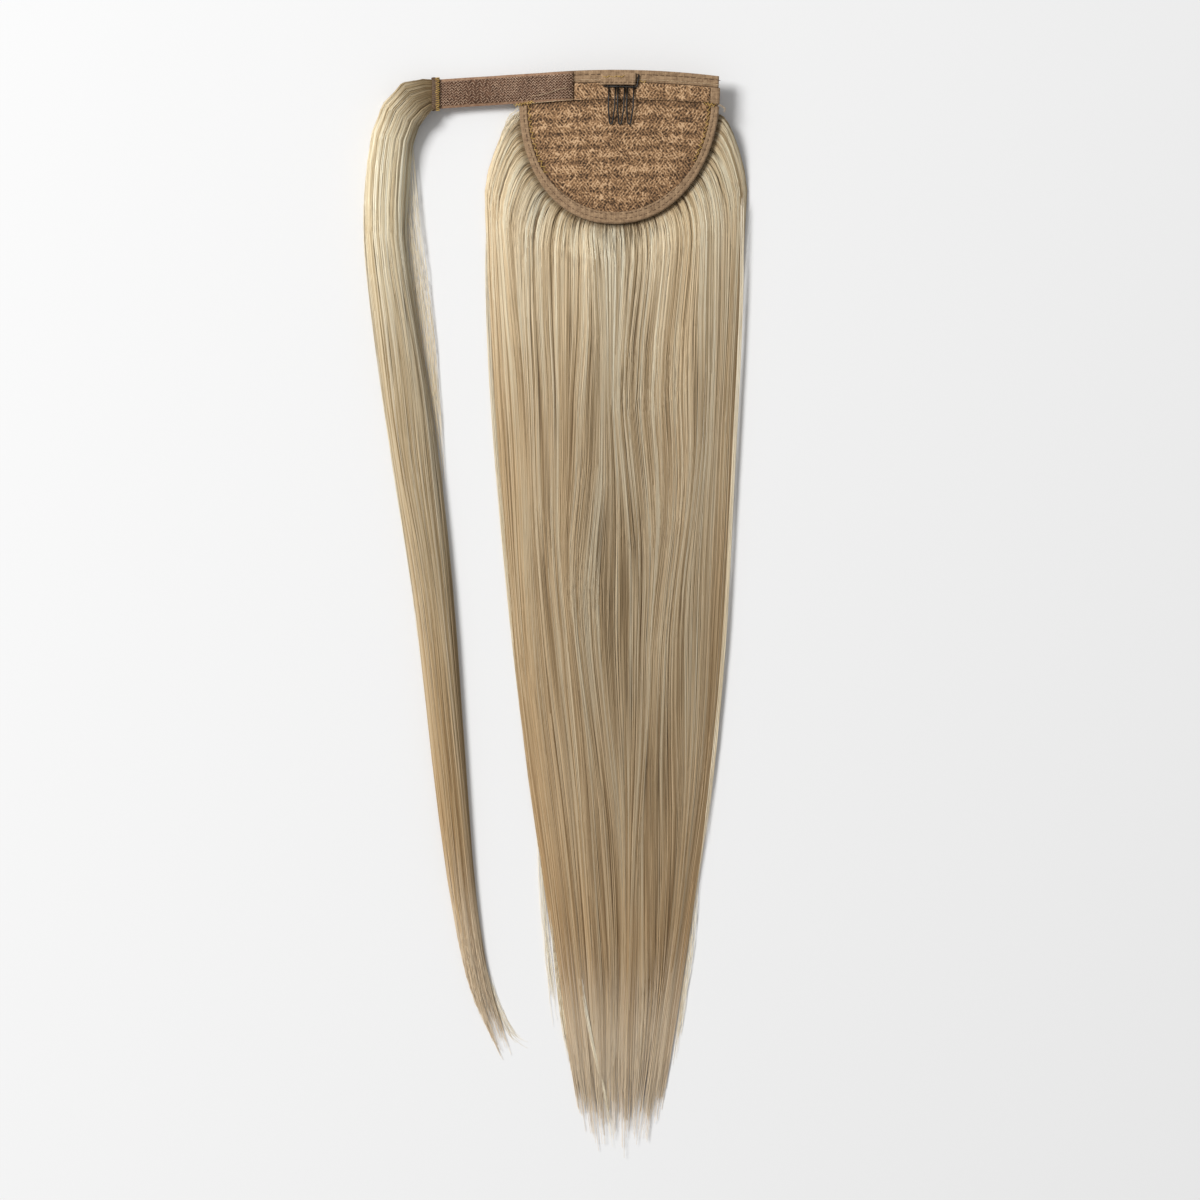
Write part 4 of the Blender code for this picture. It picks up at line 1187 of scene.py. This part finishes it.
def tape_ring(edge, share, depth, pleat, stitched, step):
    """A section through a folded tape: over the cap's edge and back under it, then its inner side."""
    section = []
    for k in range(TAPE_STEPS + 1):
        outside = -depth * (1 - k / TAPE_STEPS)
        dent = sum(math.exp(-((outside + row) / (0.45 * MM)) ** 2) for row in stitched)
        lower = step * smooth_step(-outside, 3.6 * MM, 4.1 * MM)
        rounded = 0.22 * MM if k == 0 else 0.0
        wave = pleat * smooth_step(-outside, 0.5 * MM, depth)
        section.append((outside, TAPE_TOP - 0.14 * MM * dent - lower - rounded + wave))
    middle = PANEL_THICKNESS / 2
    outer, inner = TAPE_TOP - middle, PANEL_THICKNESS / 2 + GAP
    for k in range(1, FOLD_STEPS):
        turn = math.pi * (0.5 - k / FOLD_STEPS)
        section.append(((GAP + TAPE_WALL) * math.cos(turn), middle + outer * math.sin(turn)))
    section += [(-depth * k / 3, middle - outer) for k in range(4)]
    section += [(-depth * (1 - k / 3), middle - inner) for k in range(4)]
    section.append((GAP, middle))
    section += [(-depth * k / 3, middle + inner) for k in range(4)]
    ring = []
    for outside, lift in section:
        x, y = edge(share, outside)
        ring.append(on_cap(x, y, lift))
    return ring


def straight_edge(share, outside):
    return CAP_HALF_WIDTH * (2 * share - 1), outside


def round_edge(share, outside):
    start = math.asin((RIM_START - CAP_STRAIGHT) / CAP_CURVE)
    return rim_point(mix(start, math.pi - start, share), outside)


def side_edge(side):
    def edge(share, outside):
        y = mix(-HEM_DEPTH - GAP, GAP - RIM_START, share)
        return side * (half_width(y) + outside), y
    return edge


def make_tapes():
    """The folded tapes. Below, the rim's tape is gathered round the curve in small pleats."""
    def rim_pleat(share):
        curved = math.sin(math.pi * share) ** 2
        uneven = noise.noise(Vector((share * 60, 1, 0)))
        return PLEAT_RELIEF * curved * (math.sin(2 * math.pi * (PLEATS * share + 0.3 * uneven)) - 0.4)

    def flat(share):
        return 0.06 * MM * noise.noise(Vector((share * 30, 2, 0)))

    table = (
        ("top_hem", straight_edge, 110, HEM_DEPTH, flat, (1.7 * MM,), 0.18 * MM),
        ("rim_tape", round_edge, 360, RIM_DEPTH, rim_pleat, (1.6 * MM, 4.3 * MM), 0.0),
        ("left_side_tape", side_edge(-1), 10, SIDE_TAPE_DEPTH, flat, (3.6 * MM,), 0.0),
        ("right_side_tape", side_edge(1), 10, SIDE_TAPE_DEPTH, flat, (3.6 * MM,), 0.0),
    )
    pieces = {}
    for node, edge, stations, depth, pleat, stitched, step in table:
        rings = []
        for i in range(stations + 1):
            share = i / stations
            shown = tape_depth(node, share, depth)
            rings.append(tape_ring(edge, share, shown, pleat(share), stitched, step))
        pieces[node] = keep_piece(loft(node + "_cloth", rings, TAPE), "tape", node)
    return pieces


def make_comb_and_tab():
    keep_piece(link_object("comb_wire", merged_copy("comb", "comb_wire"), ENAMEL), "wire", "comb")
    tab = (
        (-1.0 * MM, TAPE_TOP + GAP), (-1.3 * MM, TAPE_TOP + GAP), (-2.0 * MM, TAPE_TOP + GAP + 0.2 * MM),
        (-3.0 * MM, WIRE_TOP + GAP), (-5.0 * MM, WIRE_TOP + 1.5 * GAP), (-6.6 * MM, WIRE_TOP + 1.3 * GAP),
        (-7.4 * MM, WIRE_TOP + GAP), (-7.7 * MM, WIRE_TOP + GAP),
    )
    columns = 24
    upper, lower = [], []
    for i, (y, lift) in enumerate(tab):
        top_row, bottom_row = [], []
        for j in range(columns + 1):
            x = mix(TAB_LEFT, TAB_RIGHT, j / columns)
            at_border = i in (0, len(tab) - 1) or j in (0, columns)
            thickness = TAB_THICKNESS * (0.5 if at_border else 1.0)
            top_row.append(on_cap(x, y, lift + thickness))
            bottom_row.append(on_cap(x, y, lift))
        upper.append(top_row)
        lower.append(bottom_row)
    return keep_piece(closed_patch("comb_tab_cloth", upper, lower, TAPE), "tape", "comb_tab")


# The strap and its binding

def strap_rows():
    rows = []
    first, last = STRAP_ON_CAP[0], STRAP_ON_CAP[-1]
    for x in STRAP_ON_CAP:
        y = mix(*STRAP_ON_CAP_Y, (x - first) / (last - first))
        rows.append(StrapRow(x, y, cap_height(x, y) + TAPE_TOP + GAP))
    return rows + list(STRAP_FREE)


def make_strap(hooks):
    """The strap: its woven base with bare selvedges, and the hooks between them."""
    half, field = STRAP_WIDTH / 2, STRAP_WIDTH / 2 - SELVEDGE
    base, pile = STRAP_BASE, STRAP_BASE + PILE_SHARE * HOOK_HEIGHT
    corner, slope = 0.15 * MM, 0.2 * MM
    section = (
        (-half, corner), (-half + corner, 0.0), (half - corner, 0.0), (half, corner), (half, base - corner),
        (half - corner, base), (field, base), (field - slope, pile), (0.0, pile), (slope - field, pile),
        (-field, base), (corner - half, base), (-half, base - corner),
    )
    rings, face = [], []
    for row in strap_rows():
        x, middle = row.x + SHIFT_X, row.y + SHIFT_Y
        rings.append([Vector((x, middle + across, row.under + lift)) for across, lift in section])
        face.append([Vector((x, middle + side * (field - 0.5 * MM), row.under + pile)) for side in (-1, 1)])
    piece = loft("hook_strap_base", rings, HOOK_BASE)
    at_edge = [0.0 if abs(across) < field and lift > base else 1.0 for across, lift in section]
    store_values(piece.data, "selvedge", at_edge * len(rings))
    keep_piece(piece, "hook_tape", "hook_strap")
    guide = guide_from("hook_guide", face)
    grown(
        "hook_strap_hooks", hooks, "hook_tape",
        guide=guide, along=68, across=9, length=1.9 * MM, height=HOOK_HEIGHT - PILE_SHARE * HOOK_HEIGHT,
        radius=0.16 * MM, slant=0.8, seed=4, material=HOOKS,
    )
    remove_object(guide)
    return piece


def bent_thread(tree, get, unit, sides, *heights):
    """A short round thread with a bend. heights are shares of an input, at its start, bend and end."""
    places = []
    for share, height in zip((-0.5, 0.0, 0.5), heights):
        x = add(tree, "Math", get["length"], share, operation="MULTIPLY")
        z = add(tree, "Math", get[unit], height, operation="MULTIPLY")
        places.append(add(tree, "CombineXYZ", x, 0.0, z))
    thread = add(tree, "CurveQuadraticBezier", 4, *places)
    profile = add(tree, "CurvePrimitiveCircle", sides, get["radius"])
    return add(tree, "CurveToMesh", thread, profile, None, True)


def hook_tree():
    """Small bent filaments that stand on a strip. Rows slant one way and the other by turns."""
    tree, get, result = new_tree(
        "Hooks on a strip",
        Object="guide", Material="material", Int="along across seed", Float="length height radius slant",
    )
    grid = add(tree, "MeshGrid", 0.96, 0.98, get["across"], get["along"])
    split = add(tree, "SeparateXYZ", add(tree, "InputPosition"))
    across = add(tree, "Math", split.outputs["X"], 0.5, operation="ADD")
    along = add(tree, "Math", split.outputs["Y"], 0.5, operation="ADD")
    column = add(tree, "Math", along, get["along"], operation="MULTIPLY")
    column = add(tree, "Math", column, operation="FLOOR")
    odd = add(tree, "Math", column, 2.0, operation="MODULO")
    way = add(tree, "MapRange", odd, 0.0, 1.0, -1.0, 1.0)
    number = add(tree, "InputIndex")
    ranges = (("turn", -0.18, 0.18), ("size", 0.85, 1.1), ("slip", -0.3, 0.3))
    own = random_values(tree, number, get["seed"], 0.0, 5.0, ranges)
    slip = add(tree, "Math", own["slip"], get["along"], operation="DIVIDE")
    along = add(tree, "Math", along, slip, operation="ADD")
    spot = add(tree, "CombineXYZ", across, add(tree, "Clamp", along, 0.003, 0.997))
    guide = add(tree, "ObjectInfo", get["guide"], False).outputs["Geometry"]
    guide_map = add(tree, "InputNamedAttribute", "strand_uv", data_type="FLOAT_VECTOR")
    there = add(tree, "SampleUVSurface", guide, add(tree, "InputPosition"), guide_map, spot,
                data_type="FLOAT_VECTOR")
    turn = add(tree, "Math", way, get["slant"], own["turn"], operation="MULTIPLY_ADD")
    turn = add(tree, "EulerToRotation", add(tree, "CombineXYZ", 0.0, 0.0, turn))
    for label, value, kind in (("turning", turn, "QUATERNION"), ("sizing", own["size"], "FLOAT")):
        grid = add(tree, "StoreNamedAttribute", grid, None, label, value, data_type=kind, domain="POINT")
    grid = add(tree, "SetPosition", grid, None, there)
    hook = bent_thread(tree, get, "height", 4, 0.0, 1.7, 0.35)
    turning = add(tree, "InputNamedAttribute", "turning", data_type="QUATERNION")
    sizing = add(tree, "InputNamedAttribute", "sizing", data_type="FLOAT")
    hooks = add(tree, "InstanceOnPoints", grid, None, hook, None, None, turning, sizing)
    finish_tree(tree, hooks, get, result)
    return tree


def round_sleeve(x, turn, grow):
    """A place round the strap's end and the wrap lock's root, and the way out of it. grow is the distance
    from the sleeve's inner side."""
    end = STRAP_FREE[-1]
    thickness = STRAP_BASE + HOOK_HEIGHT
    wide, tall = STRAP_WIDTH / 2 + GAP + grow, thickness / 2 + GAP + grow
    across = math.copysign(abs(math.cos(turn)) ** 0.5, math.cos(turn)) * wide
    up = math.copysign(abs(math.sin(turn)) ** 0.5, math.sin(turn)) * tall
    out = Vector((0, math.cos(turn) / wide, math.sin(turn) / tall)).normalized()
    return Vector((x + SHIFT_X, end.y + across + SHIFT_Y, end.under + thickness / 2 + up)), out


def make_sleeve():
    """The band of whipped thread round the strap's end and the flat root of the wrap lock."""
    corners, rounding = 24, 0.3 * MM
    turns = [2 * math.pi * k / corners for k in range(corners)]
    rings = []
    for x, grow in (
        (SLEEVE_LEFT, 0.5), (SLEEVE_LEFT + rounding, 0.8), (SLEEVE_RIGHT - rounding, 0.8),
        (SLEEVE_RIGHT, 0.5), (SLEEVE_RIGHT, 0.0), (SLEEVE_LEFT, 0.0),
    ):
        rings.append([round_sleeve(x, turn, grow * SLEEVE_WALL)[0] for turn in turns])
    keep_piece(loft("thread_sleeve_band", rings, BROWN, closed=True), "thread", "thread_sleeve")


# Stitches

def stitch_tree():
    """Stitches of thread along a path. The path's attribute out says which way is out of the cloth."""
    tree, get, result = new_tree(
        "Stitches along a path",
        Object="path", Material="material", Int="seed", Float="pitch length radius slant zigzag",
    )
    path = add(tree, "ObjectInfo", get["path"], False).outputs["Geometry"]
    path = add(tree, "MeshToCurve", path)
    path = add(tree, "ResampleCurve", path, None, get["pitch"], mode="LENGTH")
    out = add(tree, "InputNamedAttribute", "out", data_type="FLOAT_VECTOR")
    turn = add(tree, "AlignRotationToVector", None, None, add(tree, "InputTangent"), axis="X")
    turn = add(tree, "AlignRotationToVector", turn, None, out, axis="Z", pivot_axis="X")
    number = add(tree, "InputIndex")
    odd = add(tree, "Math", number, 2.0, operation="MODULO")
    way = add(tree, "MapRange", odd, 0.0, 1.0, -1.0, 1.0)
    angle = add(tree, "Math", way, get["zigzag"], get["slant"], operation="MULTIPLY_ADD")
    own = random_values(tree, number, get["seed"], 0.0, 5.0, (("turn", -0.12, 0.12), ("size", 0.8, 1.15)))
    angle = add(tree, "Math", angle, own["turn"], operation="ADD")
    angle = add(tree, "EulerToRotation", add(tree, "CombineXYZ", 0.0, 0.0, angle))
    turn = add(tree, "RotateRotation", turn, angle, rotation_space="LOCAL")
    stitch = bent_thread(tree, get, "radius", 5, -0.8, 1.6, -0.8)
    stitches = add(tree, "InstanceOnPoints", path, None, stitch, None, None, turn, own["size"])
    finish_tree(tree, stitches, get, result)
    return tree


PATH_STEPS = 40
RIM_PATH_STEPS = 240
SLEEVE_PATH_STEPS = 48
UP = (0, 0, 1)


def cap_line(base, above, *ends):
    """A straight path over the cap. It lies a number of mm above a height over the cap's underside. The ends
    are x1, y1, x2 and y2 in the cap's plan, in mm."""
    x1, y1, x2, y2 = (end * MM for end in ends)
    lift = base + above * MM
    path = []
    for k in range(PATH_STEPS):
        share = k / PATH_STEPS
        path.append((on_cap(mix(x1, x2, share), mix(y1, y2, share), lift), UP))
    path.append((on_cap(x2, y2, lift), UP))
    return path


def rim_line(base, above, outside, first, last):
    """A path along the rim's tape, between shares of its way round the cap. above and outside are in mm."""
    path = []
    for k in range(RIM_PATH_STEPS + 1):
        x, y = round_edge(mix(first, last, k / RIM_PATH_STEPS), outside * MM)
        path.append((on_cap(x, y, base + above * MM), UP))
    return path


def sleeve_line(x):
    """A path once round the sleeve, at an X of the cap's plan in mm."""
    path = []
    for k in range(SLEEVE_PATH_STEPS + 1):
        path.append(round_sleeve(x * MM, 2 * math.pi * k / SLEEVE_PATH_STEPS, 0.8 * SLEEVE_WALL))
    return path


# A row of stitches. Pitch, length and radius are in mm, and the turns of single stitches are in radians.
StitchRow = namedtuple("StitchRow", "name path pitch length radius slant zigzag material")


def stitch_rows():
    tape, strip, net = TAPE_TOP, STRIP_TOP, PANEL_THICKNESS
    tab = WIRE_TOP + 1.5 * GAP + TAB_THICKNESS
    strap = TAPE_TOP + GAP + STRAP_BASE
    rows = (
        ("hem_stitches", cap_line(tape, 0, -25, -1.7, 53.5, -1.7), 3.4, 2.5, 0.20, 0.0, 0.0, BROWN),
        ("hem_lower_stitches", cap_line(tape, 0, -25, -4.5, 53.5, -4.5), 2.4, 2.2, 0.15, 0.0, 0.0, PALE),
        ("rim_outer_stitches", rim_line(tape, -0.1, -1.6, 0.0, 1.0), 2.7, 1.7, 0.20, 0.0, 0.0, BROWN),
        ("rim_inner_stitches", rim_line(tape, -0.1, -4.3, 0.24, 0.76), 2.7, 1.7, 0.20, 0.0, 0.0, BROWN),
        ("rim_left_zigzag", rim_line(net, 0.6, -4.6, 0.0, 0.2), 1.6, 2.3, 0.17, 0.3, 0.85, GOLD),
        ("rim_right_zigzag", rim_line(net, 0.6, -4.6, 0.84, 1.0), 1.6, 2.3, 0.17, 0.3, 0.85, GOLD),
        ("strip_seam", cap_line(strip, 0, -25, -14.6, 49, -14.9), 2.6, 1.7, 0.18, 0.1, 0.0, BROWN),
        ("strip_right_seam", cap_line(strip, 0, 48.9, -6.8, 48.9, -15.2), 1.7, 1.2, 0.18, 0.0, 0.0, BROWN),
        ("right_corner_zigzag", cap_line(strip, 0.3, 47, -16, 52, -16.6), 1.0, 2.4, 0.17, 0.2, 0.9, GOLD),
        ("tab_lower_stitches", cap_line(tab, 0.15, -9.6, -6.4, 8, -6.4), 2.3, 1.6, 0.17, 0.1, 0.1, BROWN),
        ("tab_gold_stitches", cap_line(tab, 0.2, -8.6, -3.4, 1.5, -3.2), 1.9, 1.8, 0.18, 0.15, 0.35, GOLD),
        ("tab_right_gold_stitches", cap_line(tape, 0, 9.5, -5.4, 13.5, -5.8), 1.3, 1.8, 0.18, 0.3, 0.7,
         GOLD),
        ("strap_end_seam", cap_line(strap, 1.2, -26.3, -1, -26.3, -15), 1.8, 1.2, 0.16, 0.0, 0.0, BROWN),
        ("strap_lower_seam", cap_line(strap, 0, -50, -16.1, -26, -15.3), 1.6, 1.5, 0.16, 0.0, 0.1, PALE),
        ("strap_knot", cap_line(strap, 0.2, -57, -16.4, -47.5, -15.4), 0.8, 2.3, 0.18, 0.2, 0.7, GOLD),
        ("sleeve_left_whipping", sleeve_line(-102.2), 1.1, 2.1, 0.24, 1.25, 0.15, BROWN),
        ("sleeve_right_whipping", sleeve_line(-100.0), 1.1, 2.1, 0.24, -1.25, 0.15, GOLD),
    )
    return [StitchRow(*row) for row in rows]


FIRST_STITCH_SEED = 70


def make_stitches():
    tree = stitch_tree()
    for number, row in enumerate(stitch_rows()):
        points = [place for place, _ in row.path]
        mesh = bpy.data.meshes.new(row.name)
        mesh.from_pydata(points, [(i, i + 1) for i in range(len(points) - 1)], [])
        outs = mesh.attributes.new("out", "FLOAT_VECTOR", "POINT")
        outs.data.foreach_set("vector", [value for _, out in row.path for value in out])
        path = link_object(row.name + "_path", mesh)
        grown(
            row.name, tree, "thread", path=path, pitch=row.pitch * MM, length=row.length * MM,
            radius=row.radius * MM, slant=row.slant, zigzag=row.zigzag, seed=FIRST_STITCH_SEED + number,
            material=row.material,
        )
        remove_object(path)


# The room

def make_room():
    """A pale table, one large soft light from the upper left and even light all round."""
    table, _, shader = new_material("matt_white_table", 0.9)
    shader.inputs["Base Color"].default_value = linear("#EDEDED")
    size = 3.0
    corners = [(-size, -size, 0), (size, -size, 0), (size, size, 0), (-size, size, 0)]
    link_object("table_top", mesh_of("table_top", corners, [(0, 1, 2, 3)], smooth=False), table)

    world = bpy.data.worlds.new("studio")
    bpy.context.scene.world = world
    world.use_nodes = True
    world.node_tree.nodes["Background"].inputs["Color"].default_value = linear("#FFFFFF")
    world.node_tree.nodes["Background"].inputs["Strength"].default_value = 0.38

    light = bpy.data.lights.new("softbox", "AREA")
    light.shape = "SQUARE"
    light.size = 1.8
    light.energy = 242
    lamp = bpy.data.objects.new("softbox", light)
    bpy.context.scene.collection.objects.link(lamp)
    lamp.location = (-3.0, 1.5, 4.0)
    lamp.rotation_euler = (-lamp.location).to_track_quat("-Z", "Y").to_euler()

    camera = bpy.data.cameras.new("camera")
    camera.sensor_width = 36
    camera.lens = 120
    eye = bpy.data.objects.new("camera", camera)
    bpy.context.scene.collection.objects.link(eye)
    eye.location = (24.1 * MM, 6.8 * MM, 2.2)
    bpy.context.scene.camera = eye
    bpy.context.scene.view_settings.view_transform = "Standard"


def main():
    strands = strand_tree()
    make_fall(strands)
    make_wrap(strands)
    panel, strip = make_lace()
    tapes = make_tapes()
    tab = make_comb_and_tab()
    strap = make_strap(hook_tree())
    make_sleeve()
    make_stitches()
    make_wisps(strands)
    make_room()


main()
